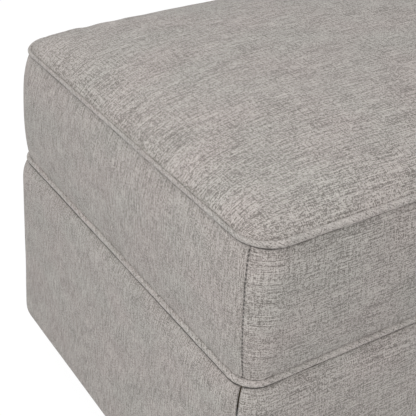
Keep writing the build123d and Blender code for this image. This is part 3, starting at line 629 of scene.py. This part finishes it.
def past_seam(x, y, half_x, half_y, radius):
    """How far along the cover a point of a corner lies from the upright seam there."""
    dx, dy = abs(x) - (half_x - radius), abs(y) - (half_y - radius)
    if dx <= 0 or dy <= 0:
        return MARK_LIMIT
    seam = SEAM_ANGLE if x * y > 0 else pi / 2 - SEAM_ANGLE
    return held((atan2(dx, dy) - seam) * radius, -MARK_LIMIT, MARK_LIMIT)


def flank_share(x, y):
    """1 beside the left and right edges, 0 beside the front and rear ones, easing over each corner."""
    return held((TOP_HALF_Y - abs(y) - TOP_HALF_X + abs(x)) / 0.02 + 0.5)


def unevenness(x, y, z, cover):
    """How the cover stands off its form: slow swells, and puckers beside the top piping."""
    on_top = z > TOP_Z + 0.0015
    inside = inside_by(x, y, TOP_HALF_X, TOP_HALF_Y, cover.cushion_corner)
    from_seam = max(inside, 0) if on_top else max(min(TOP_Z - z, z - MID_Z), 0)
    off = waves((x, y, z), CUSHION_SWELLS) * cover.softness
    off *= min(1, from_seam / 0.03)
    near_top = inside if on_top else TOP_Z - z
    if 0.001 < near_top < 0.05:
        fade = min(near_top / 0.004, 1) * exp(-near_top / 0.011)
        off += waves((x, y, 0.3 * z), CUSHION_PUCKERS) * cover.pucker * fade
    out = Vector((0, 0, 1)) if on_top else Vector((x / TOP_HALF_X, y / TOP_HALF_Y, 0)).normalized()
    return out * off


def shade_distance(x, y, z, corner):
    """Distance from the fold beside a piping, which sets the painted shade there; the offsets make each fold's painted
    shade lighter or darker.
    """
    flank = flank_share(x, y)
    cord = CORD_RADIUS * (1 - FLANK_TUCK * flank)
    if z < TOP_Z:
        # painted shade on the cushion's sides: under the top piping, and fainter above the middle piping
        beside = min(TOP_Z - z - cord * 0.8, z - MID_Z - CORD_RADIUS * 0.9 + 0.0018)
    else:
        inside = inside_by(x, y, TOP_HALF_X, TOP_HALF_Y, corner)
        # painted shade on the crown beside the top piping: faint at the front and rear, darker along the flanks
        beside = 0.0027 - 0.0006 * flank + max(hypot(inside, z - TOP_Z) - cord, 0)
    return held(beside, 0.0, MARK_LIMIT)


class OTTOMAN_OT_cushion(bpy.types.Operator):
    """Crowned cushion, swollen between its two piped seams, with an upright seam at each corner"""

    bl_idname = "ottoman.cushion"
    bl_label = "Cushion"

    def execute(self, context):
        cover = context.scene.ottoman_cover
        cells, corners = (96, 74, 24), (cover.cushion_corner, cover.panel_corner)
        form = cushion_form(cells, *corners)
        pattern = [vert.co.copy() for vert in form.verts]
        form.free()
        form = cushion_form(cells, *corners, fullness=cover.slack)
        cushion = piece_from(form, "cushion", heathered_tweed(cover))
        seams = [index for index, point in enumerate(pattern)
                 if min(abs(point.z - LOW_SEAM_Z), abs(point.z - TOP_SEAM_Z)) < 1e-5]
        swollen(cushion, seams, pattern, cover.pressure, cover.swell_limit)
        for vert in cushion.data.vertices:
            vert.co += unevenness(*vert.co, cover)
        finer(cushion)
        seam_mark, shade_mark = [cushion.data.attributes.new(mark, "FLOAT", "POINT") for mark in ("seam", "painted_shade")]
        for vert in cushion.data.vertices:
            x, y, z = vert.co
            share = held((z - MID_Z) / (TOP_Z - MID_Z))
            off = MARK_LIMIT
            if TOP_Z - 0.002 > z > MID_Z + 0.001:
                outset = cushion_outset(share)
                radius = cover.panel_corner * (1 - share) + cover.cushion_corner * share + outset
                off = past_seam(x, y, TOP_HALF_X + outset, TOP_HALF_Y + outset, radius)
            if abs(off) < 0.01:
                inward = Vector((-copysign(1, x), -copysign(1, y), 0)).normalized()
                vert.co += inward * (exp(-(off / SEAM_WIDTH) ** 2) * cover.seam_depth)
            seam_mark.data[vert.index].value = off
            # painted shade beside both pipings, kept as each point's distance from its fold
            shade_mark.data[vert.index].value = shade_distance(x, y, z, cover.cushion_corner)
        ridden(cushion, "cover_fabric", "cover_top", *[f"cushion_band_{side}" for side in SIDES])
        return {"FINISHED"}


# ---- piping
PIPING_JOIN = 0.62  # where the cord's ends meet, as a share of the way round from the front left


def piping(name, half_x, half_y, height, radius, cord, material, tuck=0.0, steps=420, sides=14):
    """Covered cord sewn into a seam right round the ottoman, joined at the rear, slightly uneven as sewn piping is."""
    tube = bmesh.new()
    bmesh.ops.create_grid(tube, x_segments=steps, y_segments=sides, size=0.5, calc_uvs=False)
    cloth = tube.loops.layers.uv.new("cloth")
    seam_mark, shade_mark = [tube.verts.layers.float.new(mark) for mark in ("seam", "painted_shade")]
    length = ring_length(half_x, half_y, radius)
    for face in tube.faces:
        for loop in face.loops:
            loop[cloth].uv = (loop.vert.co.x * length + 9, loop.vert.co.y * 2 * pi * cord)
    for vert in tube.verts:
        along, around = vert.co.x + 0.5, (vert.co.y + 0.5) * 2 * pi
        point, outward = ring_place(along, half_x, half_y, radius)
        reach = (cord + waves(point, CORD_SWELLS)) * (1 - tuck * outward.x ** 2)
        lift = ripple(point, 0.09, 4.0) * 0.0004
        join = (along - PIPING_JOIN) * length + 0.004 * sin(around)
        vert[seam_mark] = held(join, -MARK_LIMIT, MARK_LIMIT)
        # painted shade: the top piping is darker along the left and right flanks
        vert[shade_mark] = 0.0028 - 0.0004 * tuck * outward.x ** 2
        reach += 0.0005 * exp(-(join / 0.012) ** 2)
        vert.co = point + outward * (reach * cos(around)) + Vector((0, 0, height + lift + reach * sin(around)))
    bmesh.ops.remove_doubles(tube, verts=tube.verts[:], dist=1e-5)
    return piece_from(tube, name, material)


class OTTOMAN_OT_piping(bpy.types.Operator):
    """The two lines of piping, above and below the cushion's sides"""

    bl_idname = "ottoman.piping"
    bl_label = "Piping"

    def execute(self, context):
        cover = context.scene.ottoman_cover
        # the piping's cloth is painted lighter than the cover, a painted highlight, with calmer flecks
        tweed = heathered_tweed(cover, turn=radians(38), highlight_and_calm=0.07, name="heathered_tweed_bias_highlit")
        top = piping("top_piping", TOP_HALF_X, TOP_HALF_Y, TOP_Z, cover.cushion_corner, CORD_RADIUS, tweed, FLANK_TUCK)
        ridden(top, "welt_fabric", "top_welt")
        middle = piping("middle_piping", MID_HALF_X, MID_HALF_Y, MID_Z, cover.panel_corner + MID_OUTSET,
                        CORD_RADIUS, tweed)
        ridden(middle, "welt_fabric", "mid_welt")
        return {"FINISHED"}


# ---- lower panels
def panel_stops():
    """The lower panel's line, part by part: (length, function from a share to outset and height)."""
    fold_z, neck = MID_Z - 0.0038, MID_OUTSET - 0.0008
    shoulder_z, full = fold_z - 0.027, PANEL_WIDEST - PANEL_FLARE
    radius = PANEL_WIDEST - TUCK_LINE
    foot_z = FOOT_Z + radius
    return (
        (0.0016, lambda share: (neck - 0.0008 * (1 - share), fold_z + 0.0014 * (1 - share))),
        (0.0300, lambda share: (neck + (full - neck) * sin(share * pi / 2),
                                shoulder_z + (fold_z - shoulder_z) * cos(share * pi / 2))),
        (shoulder_z - foot_z, lambda share: (full + PANEL_FLARE * share, shoulder_z + (foot_z - shoulder_z) * share)),
        (radius * pi / 2, lambda share: (TUCK_LINE + radius * cos(share * pi / 2),
                                         foot_z - radius * sin(share * pi / 2))),
        (0.008, lambda share: (TUCK_LINE - 0.008 * share, FOOT_Z)),
    )


PANEL_STOPS = panel_stops()
PANEL_RUN = sum(length for length, _ in PANEL_STOPS)


def panel_line(distance):
    """Outset and height this far down a lower panel, from its fold under the piping to its hem under the box."""
    for length, place in PANEL_STOPS:
        if distance < length + 1e-6:
            break
        distance -= length
    return place(held(distance / length))


def panel_form(side, cover, cells):
    """One lower panel: it runs round both its corners to the upright seams and turns in under the box."""
    corner = cover.panel_corner
    half, reach = (TOP_HALF_X, TOP_HALF_Y) if side in LONG_SIDES else (TOP_HALF_Y, TOP_HALF_X)
    sheet = bmesh.new()
    bmesh.ops.create_grid(sheet, x_segments=cells[0], y_segments=cells[1], size=1)
    cloth = sheet.loops.layers.uv.new("cloth")
    seam_mark, shade_mark = [sheet.verts.layers.float.new(mark) for mark in ("seam", "painted_shade")]
    full_radius = corner + PANEL_WIDEST
    straight = half - corner
    ahead = Vector((0, -1, 0))
    low_end, high_end = -straight - full_radius * SEAM_ANGLE, straight + full_radius * (pi / 2 - SEAM_ANGLE)
    for vert in sheet.verts:
        vert.co.x = low_end + (eased(vert.co.x, 0.6) + 1) / 2 * (high_end - low_end)
        vert.co.y = (1 - eased(vert.co.y, 0.8)) / 2 * PANEL_RUN
    for face in sheet.faces:
        for loop in face.loops:
            along, up = loop.vert.co.x + 13 + SIDES[side] / 50, -loop.vert.co.y
            loop[cloth].uv = (along, up) if side in LONG_SIDES else (FLANK_WEAVE * up, along)
    spin = Matrix.Rotation(radians(SIDES[side]), 3, "Z")
    for vert in sheet.verts:
        along, down = vert.co.x, vert.co.y
        outset, z = panel_line(down)
        to_seam = min(along - low_end, high_end - along)
        vert[seam_mark] = min(to_seam, MARK_LIMIT)
        # painted shade under the middle piping, narrower and lighter along the front and rear away from the corners
        lighter_shade = min(to_seam / 0.08, 1) if side in LONG_SIDES else 0
        vert[shade_mark] = held(down - 0.0045 + 0.0017 * lighter_shade, 0, MARK_LIMIT)
        outset -= exp(-(to_seam / SEAM_WIDTH) ** 2) * cover.seam_depth + (0.0010 if to_seam < 1e-6 else 0)
        if FOOT_Z + 0.004 < z < MID_Z - 0.004:
            steady = min(1, down / 0.03, (z - FOOT_Z) / 0.03, to_seam / 0.02 + 0.2)
            outset += waves((along, SIDES[side] / 100, z), PANEL_SWELLS) * cover.softness * steady
            if 0.003 < down < 0.06:
                pucker = ripple((along, 0.25 * down, SIDES[side]), 0.014, 8.0) * cover.pucker
                outset += pucker * 0.6 * exp(-down / 0.015)
        if abs(along) <= straight:
            x, y = along, -(reach + outset)
        else:
            angle = (abs(along) - straight) / full_radius
            x = copysign(straight + (corner + outset) * sin(angle), along)
            y = -(reach - corner) - (corner + outset) * cos(angle)
        vert.co = spin @ Vector((x, y, z))
    bmesh.ops.recalc_face_normals(sheet, faces=sheet.faces[:])
    outermost = max(sheet.faces, key=lambda face: face.calc_center_median().dot(spin @ ahead))
    if outermost.normal.dot(spin @ ahead) < 0:
        bmesh.ops.reverse_faces(sheet, faces=sheet.faces[:])
    return sheet


class OTTOMAN_OT_lower_panels(bpy.types.Operator):
    """The four lower panels of the cover, joined in an upright seam at each corner"""

    bl_idname = "ottoman.lower_panels"
    bl_label = "Lower panels"

    def execute(self, context):
        cover = context.scene.ottoman_cover
        tweed = heathered_tweed(cover, name="heathered_tweed_panels")
        for side in SIDES:
            cells = (100, 56) if side in LONG_SIDES else (80, 56)
            panel = piece_from(panel_form(side, cover, cells), f"lower_panel_{side}", tweed, pointed=True)
            walled(panel, 0.0018)
            finer(panel)
            ridden(panel, "cover_fabric", f"skirt_{side}")
        return {"FINISHED"}


# ---- padding, webbing and the cloth underneath
STRAPS = {"webbing_lengthwise": 5, "webbing_crosswise": 6}
STRAP_WIDTH, STRAP_THICKNESS, STRAP_Z, STRAP_WAVE = 0.050, 0.0010, 0.2712, 0.0007
SLOT_X, SLOT_HALF_WIDTH, SLOT_HALF_LENGTH = 0.2317, 0.0065, 0.1795
CLOTH_CORNER, STAPLE_INSET, STAPLE_WIRE = 0.014, 0.010, 0.0004


def wrapped(name, section, corner, material, steps, sides):
    """A closed section, given as outset and height at a share of its way round, run right round the ottoman."""
    tube = bmesh.new()
    bmesh.ops.create_grid(tube, x_segments=steps, y_segments=sides, size=0.5)
    for vert in tube.verts:
        along, around = vert.co.x + 0.5, vert.co.y + 0.5
        point, outward = ring_place(along, TOP_HALF_X, TOP_HALF_Y, corner)
        outset, z = section(around % 1.0)
        vert.co = point + outward * outset + Vector((0, 0, z))
    bmesh.ops.remove_doubles(tube, verts=tube.verts[:], dist=1e-6)
    return piece_from(tube, name, material)


def wall_pad_section(share):
    """The pad's section: out along the inside of the lower panel, and back up the boards."""
    start, end = 0.030, PANEL_RUN - 0.024
    if share < 0.5:
        outset, z = panel_line(start + (end - start) * share * 2)
        return outset - 0.0035, z + 0.002 * share
    low_z, high_z = panel_line(end)[1] + 0.003, panel_line(start)[1] + 0.002
    return 0.0, low_z + (high_z - low_z) * (share * 2 - 1)


class OTTOMAN_OT_padding(bpy.types.Operator):
    """What fills the cover: the foam slab, the wadding round it and the pad on the walls of the box"""

    bl_idname = "ottoman.padding"
    bl_label = "Padding"

    def execute(self, context):
        cover = context.scene.ottoman_cover
        fibre, foam = wadding_finish(), foam_finish()
        for name, depth, slot, node, material in (
            ("wadding", 0.005, "wadding", "fibre_wrap", fibre),
            ("foam_slab", 0.017, "foam", "foam_core", foam),
        ):
            form = cushion_form((34, 26, 10), cover.cushion_corner, cover.panel_corner, depth, fullness=0.85)
            filling = piece_from(form, name, material)
            finer(filling)
            ridden(filling, slot, node)
        pad = wrapped("wall_pad", wall_pad_section, cover.panel_corner, fibre, 150, 48)
        finer(pad)
        ridden(pad, "wadding", "skirt_padding")
        return {"FINISHED"}


def strap_lines(node):
    """Where the first strap of a node runs, and the step from one to the next."""
    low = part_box(node)[0]
    first = (low.y if node == "webbing_lengthwise" else low.x) + STRAP_WIDTH / 2
    return first, -2 * first / (STRAPS[node] - 1)


def straps(name, node, crossed, material):
    """Webbing straps that pass over and under the ones that cross them."""
    lengthwise = node == "webbing_lengthwise"
    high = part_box(node)[1]
    reach = high.x if lengthwise else high.y
    (first, pitch), (crossing_first, crossing_pitch) = strap_lines(node), strap_lines(crossed)
    weave = bmesh.new()
    cloth = weave.loops.layers.uv.new("cloth")
    for index in range(STRAPS[node]):
        made = bmesh.ops.create_grid(weave, x_segments=72, y_segments=4, size=1)
        middle = first + pitch * index
        faces = {face for vert in made["verts"] for face in vert.link_faces}
        for face in faces:
            for loop in face.loops:
                loop[cloth].uv = (loop.vert.co.x * reach + index * 2.3, loop.vert.co.y * STRAP_WIDTH / 2)
        for vert in made["verts"]:
            along, across = vert.co.x * reach, middle + vert.co.y * STRAP_WIDTH / 2
            wave = cos(pi * (along - crossing_first) / crossing_pitch) * (-1) ** (index + (0 if lengthwise else 1))
            z = STRAP_Z + STRAP_WAVE * wave
            vert.co = (along, across, z) if lengthwise else (across, along, z)
    piece = piece_from(weave, name, material)
    walled(piece, STRAP_THICKNESS, 0.0)
    finer(piece)
    return piece


class OTTOMAN_OT_webbing(bpy.types.Operator):
    """The straps that carry the foam, woven over and under each other"""

    bl_idname = "ottoman.webbing"
    bl_label = "Webbing"

    def execute(self, context):
        woven = webbing_finish()
        for way, other in (("lengthwise", "crosswise"), ("crosswise", "lengthwise")):
            node = f"webbing_{way}"
            ridden(straps(f"{way}_webbing", node, f"webbing_{other}", woven), "webbing", node)
        return {"FINISHED"}


def slit_cloth(half_x, half_y, level):
    """The dust cloth with its two slots, and its flat area."""
    sheet = bmesh.new()
    bmesh.ops.create_grid(sheet, x_segments=60, y_segments=44, size=1, matrix=Matrix.Diagonal((half_x, half_y, 1, 1)))
    cuts = [((side * (SLOT_X + edge * SLOT_HALF_WIDTH), 0, 0), (1, 0, 0)) for side in (-1, 1) for edge in (-1, 1)]
    cuts += [((0, side * SLOT_HALF_LENGTH, 0), (0, 1, 0)) for side in (-1, 1)]
    for spot, way in cuts:
        geometry = sheet.verts[:] + sheet.edges[:] + sheet.faces[:]
        bmesh.ops.bisect_plane(sheet, geom=geometry, dist=1e-6, plane_co=spot, plane_no=way)
    slots = [face for face in sheet.faces
             if abs(abs(face.calc_center_median().x) - SLOT_X) < SLOT_HALF_WIDTH
             and abs(face.calc_center_median().y) < SLOT_HALF_LENGTH]
    bmesh.ops.delete(sheet, geom=slots, context="FACES")
    area = sum(face.calc_area() for face in sheet.faces)
    for vert in sheet.verts:
        x, y = rounded(vert.co.x, vert.co.y, half_x, half_y, CLOTH_CORNER)
        inside = inside_by(x, y, half_x, half_y, CLOTH_CORNER)
        sag = (0.0005 + 0.0007 * ripple((x, y, 0), 0.12, 1.0)) * min(inside / 0.06, 1)
        vert.co = (x, y, level - sag)
    return sheet, area


def verts_of(geometry):
    return [one for one in geometry if isinstance(one, bmesh.types.BMVert)]


def staple_row(half_x, half_y, level, spacing):
    """Staples of bent wire right round the dust cloth, each a little askew."""
    row = bmesh.new()
    ring = bmesh.ops.create_circle(row, segments=6, radius=STAPLE_WIRE,
                                   matrix=Matrix.Translation((-0.0046, 0, 0.0044)))["verts"]
    # down one leg, round a bend, along the back, round the other bend and up the other leg
    moves = ((0, 0, -0.0040), (0.0004, 0, -0.0004), (0.0084, 0, 0), (0.0004, 0, 0.0004), (0, 0, 0.0040))
    for index, move in enumerate(moves):
        edges = [edge for edge in row.edges if edge.verts[0] in ring and edge.verts[1] in ring]
        ring = verts_of(bmesh.ops.extrude_edge_only(row, edges=edges)["geom"])
        bmesh.ops.translate(row, verts=ring, vec=move)
        if index in (1, 3):
            centre = sum((vert.co for vert in ring), Vector()) / len(ring)
            bmesh.ops.rotate(row, verts=ring, cent=centre, matrix=Matrix.Rotation(-pi / 2, 3, "Y"))
    first = row.verts[:] + row.edges[:] + row.faces[:]
    line = (half_x - STAPLE_INSET, half_y - STAPLE_INSET, 0.010)
    count = ceil(ring_length(*line) / spacing)
    for index in range(count):
        point, outward = ring_place((index + 0.5) / count, *line)
        made = verts_of(bmesh.ops.duplicate(row, geom=first)["geom"])
        askew = 0.12 * ripple(point, 0.02, 6.0)  # radians
        turn = Matrix.Rotation(atan2(outward.y, outward.x) + pi / 2 + askew, 4, "Z")
        lift = Matrix.Translation(point + Vector((0, 0, level - 0.0010)))
        bmesh.ops.transform(row, verts=made, matrix=lift @ turn)
    bmesh.ops.delete(row, geom=verts_of(first), context="VERTS")
    bmesh.ops.holes_fill(row, edges=row.edges[:])
    return row


class OTTOMAN_OT_dust_cloth(bpy.types.Operator):
    """The cloth stretched under the box, slit for the base's plates and stapled round its edge"""

    bl_idname = "ottoman.dust_cloth"
    bl_label = "Dust cloth"

    def execute(self, context):
        base = context.scene.ottoman_base
        low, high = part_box("dust_cover")
        half_x, half_y, level = high.x, high.y, (low.z + high.z) / 2
        sheet, area = slit_cloth(half_x, half_y, level)
        cloth = piece_from(sheet, "dust_cloth", dust_cloth_finish())
        walled(cloth, 0.0005, 0.0)
        row = staple_row(half_x, half_y, level, base.staple_spacing)
        staples = piece_from(row, "dust_cloth_staples", zinc_plate(base))
        ridden(staples, "zinc_steel")
        ridden(cloth, "dust_cloth", "dust_cover")
        return {"FINISHED"}


# ---- finishes of the pieces that come from the frame
class OTTOMAN_OT_base_finish(bpy.types.Operator):
    """Paint, zinc, bearings, rubber and plastic of the base and the glide"""

    bl_idname = "ottoman.base_finish"
    bl_label = "Base finish"

    def execute(self, context):
        base = context.scene.ottoman_base
        finished_with(powder_coat(base), "cross_rail_front", "cross_rail_rear",
                      *[f"{kind}_{side}" for kind in ("base_rail", "pivot_plate", "hanger_plate")
                        for side in ("left", "right")],
                      *[f"swing_link_{corner}" for corner in CORNERS])
        finished_with(zinc_plate(base), "rail_bolts", "rail_nuts", "hanger_screws",
                      *[f"{level}_pivot_{kind}" for level in ("upper", "lower")
                        for kind in ("bolts", "nuts", "spacers")])
        low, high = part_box("link_bearings_rear_right")
        radius = (high.y - low.y) / 2
        finished_with(bearing_finish((high.y + low.y) / 2, (low.z + radius, high.z - radius)),
                      *[f"link_bearings_{corner}" for corner in CORNERS])
        finished_with(moulded_finish("stop_rubber", (0.012, 0.012, 0.012, 1), (0.035, 0.034, 0.033, 1), 0.75, 900),
                      "stop_bumpers")
        finished_with(moulded_finish("black_nylon", (0.016, 0.016, 0.017, 1), (0.030, 0.030, 0.031, 1), 0.5, 1400),
                      "rail_end_caps", "floor_glides")
        return {"FINISHED"}


class OTTOMAN_OT_box_finish(bpy.types.Operator):
    """Plywood boards and hardwood posts and rails of the box"""

    bl_idname = "ottoman.box_finish"
    bl_label = "Box finish"

    def execute(self, context):
        base = context.scene.ottoman_base
        finished_with(sawn_wood(base, "birch_ply_long", "X", "Y"), "frame_panel_front", "frame_panel_rear")
        finished_with(sawn_wood(base, "birch_ply_short", "Y", "X"), "frame_panel_left", "frame_panel_right")
        finished_with(sawn_wood(base, "birch_posts", "Z"), *[f"frame_post_{corner}" for corner in CORNERS])
        finished_with(sawn_wood(base, "birch_rails", "Y"), "frame_cleat_left", "frame_cleat_right")
        return {"FINISHED"}


class OTTOMAN_OT_studio(bpy.types.Operator):
    """Pale floor, soft light and the camera"""

    bl_idname = "ottoman.studio"
    bl_label = "Studio"

    def execute(self, context):
        studio = context.scene.ottoman_studio
        scene = context.scene
        scene.view_settings.view_transform = "Standard"
        world = bpy.data.worlds.new("studio")
        scene.world = world
        world.use_nodes = True
        tree = world.node_tree
        path = tree.nodes.new("ShaderNodeLightPath")
        seen = reckon(tree, "MAXIMUM", path.outputs["Is Camera Ray"],
                      reckon(tree, "MAXIMUM", path.outputs["Is Glossy Ray"], path.outputs["Is Transmission Ray"]))
        strength = reckon(tree, "MULTIPLY_ADD", seen, 1.0 - studio.sky, studio.sky)
        background = tree.nodes["Background"]
        background.inputs["Color"].default_value = (1, 1, 1, 1)
        tree.links.new(strength, background.inputs["Strength"])

        ground = bmesh.new()
        bmesh.ops.create_grid(ground, x_segments=2, y_segments=2, size=12)
        made, tree = finish_named("pale_floor", Base_Color=(0.82, 0.82, 0.82, 1), Roughness=0.9)
        path = tree.nodes.new("ShaderNodeLightPath")
        glow = add(tree, "Emission", {"Color": (1, 1, 1, 1), "Strength": 1.04})
        lift = reckon(tree, "MULTIPLY", path.outputs["Is Camera Ray"], 0.93)
        both = add(tree, "MixShader", {0: lift, 1: tree.nodes["Principled BSDF"].outputs[0], 2: glow})
        tree.links.new(both, tree.nodes["Material Output"].inputs["Surface"])
        piece_from(ground, "floor", made, pointed=True)

        for name, place, aim, size, power in (
            ("overhead", (-0.8, -0.1, 1.9), (0, 0, 0.3), 1.3, 11.0),
            ("left_bank", (-1.7, -1.2, 1.25), (0, 0, 0.25), 1.2, 12.0),
            ("front_bank", (-0.7, -1.9, 1.7), (0, 0, 0.35), 1.2, 1.8),
        ):
            lamp = bpy.data.lights.new(name, "AREA")
            lamp.shape, lamp.size, lamp.energy = "SQUARE", size, power
            holder = bpy.data.objects.new(name, lamp)
            holder.location = place
            holder.rotation_euler = (Vector(aim) - Vector(place)).to_track_quat("-Z", "Y").to_euler()
            scene.collection.objects.link(holder)

        lens = bpy.data.cameras.new("view")
        lens.sensor_width, lens.lens = 36, studio.lens
        lens.shift_x, lens.shift_y = 0.060, -0.120
        lens.clip_start, lens.clip_end = 0.02, 60
        camera = bpy.data.objects.new("view", lens)
        yaw, pitch, roll = studio.yaw, studio.pitch, studio.roll
        ahead = Vector((sin(yaw) * cos(pitch), cos(yaw) * cos(pitch), -sin(pitch)))
        level = Vector((cos(yaw), -sin(yaw), 0))
        upright = level.cross(ahead)
        across = level * cos(roll) + upright * sin(roll)
        up = upright * cos(roll) - level * sin(roll)
        turn = Matrix((across, up, -ahead)).transposed()
        camera.matrix_world = Matrix.Translation(studio.place) @ turn.to_4x4()
        scene.collection.objects.link(camera)
        scene.camera = camera
        return {"FINISHED"}


class OTTOMAN_PT_panel(bpy.types.Panel):
    """Lists the ottoman's operators in the sidebar"""

    bl_label = "Glider ottoman"
    bl_idname = "OTTOMAN_PT_panel"
    bl_space_type = "VIEW_3D"
    bl_region_type = "UI"
    bl_category = "Ottoman"

    def draw(self, context):
        scene = context.scene
        for settings in (scene.ottoman_cover, scene.ottoman_base, scene.ottoman_studio):
            box = self.layout.box()
            for name in settings.__annotations__:
                box.prop(settings, name)
        for operator in OPERATORS:
            self.layout.operator(operator.bl_idname)


OPERATORS = (
    OTTOMAN_OT_studio,
    OTTOMAN_OT_cushion,
    OTTOMAN_OT_piping,
    OTTOMAN_OT_lower_panels,
    OTTOMAN_OT_padding,
    OTTOMAN_OT_webbing,
    OTTOMAN_OT_dust_cloth,
    OTTOMAN_OT_base_finish,
    OTTOMAN_OT_box_finish,
)
CLASSES = (OttomanCover, OttomanBase, OttomanStudio, *OPERATORS, OTTOMAN_PT_panel)


def register():
    for one in CLASSES:
        bpy.utils.register_class(one)
    bpy.types.Scene.ottoman_cover = PointerProperty(type=OttomanCover)
    bpy.types.Scene.ottoman_base = PointerProperty(type=OttomanBase)
    bpy.types.Scene.ottoman_studio = PointerProperty(type=OttomanStudio)


def unregister():
    del bpy.types.Scene.ottoman_cover
    del bpy.types.Scene.ottoman_base
    del bpy.types.Scene.ottoman_studio
    for one in reversed(CLASSES):
        bpy.utils.unregister_class(one)


def main():
    register()
    bpy.ops.ottoman.studio()
    bpy.ops.ottoman.cushion()
    bpy.ops.ottoman.piping()
    bpy.ops.ottoman.lower_panels()
    bpy.ops.ottoman.padding()
    bpy.ops.ottoman.webbing()
    bpy.ops.ottoman.dust_cloth()
    bpy.ops.ottoman.base_finish()
    bpy.ops.ottoman.box_finish()


if __name__ == "__main__":
    main()
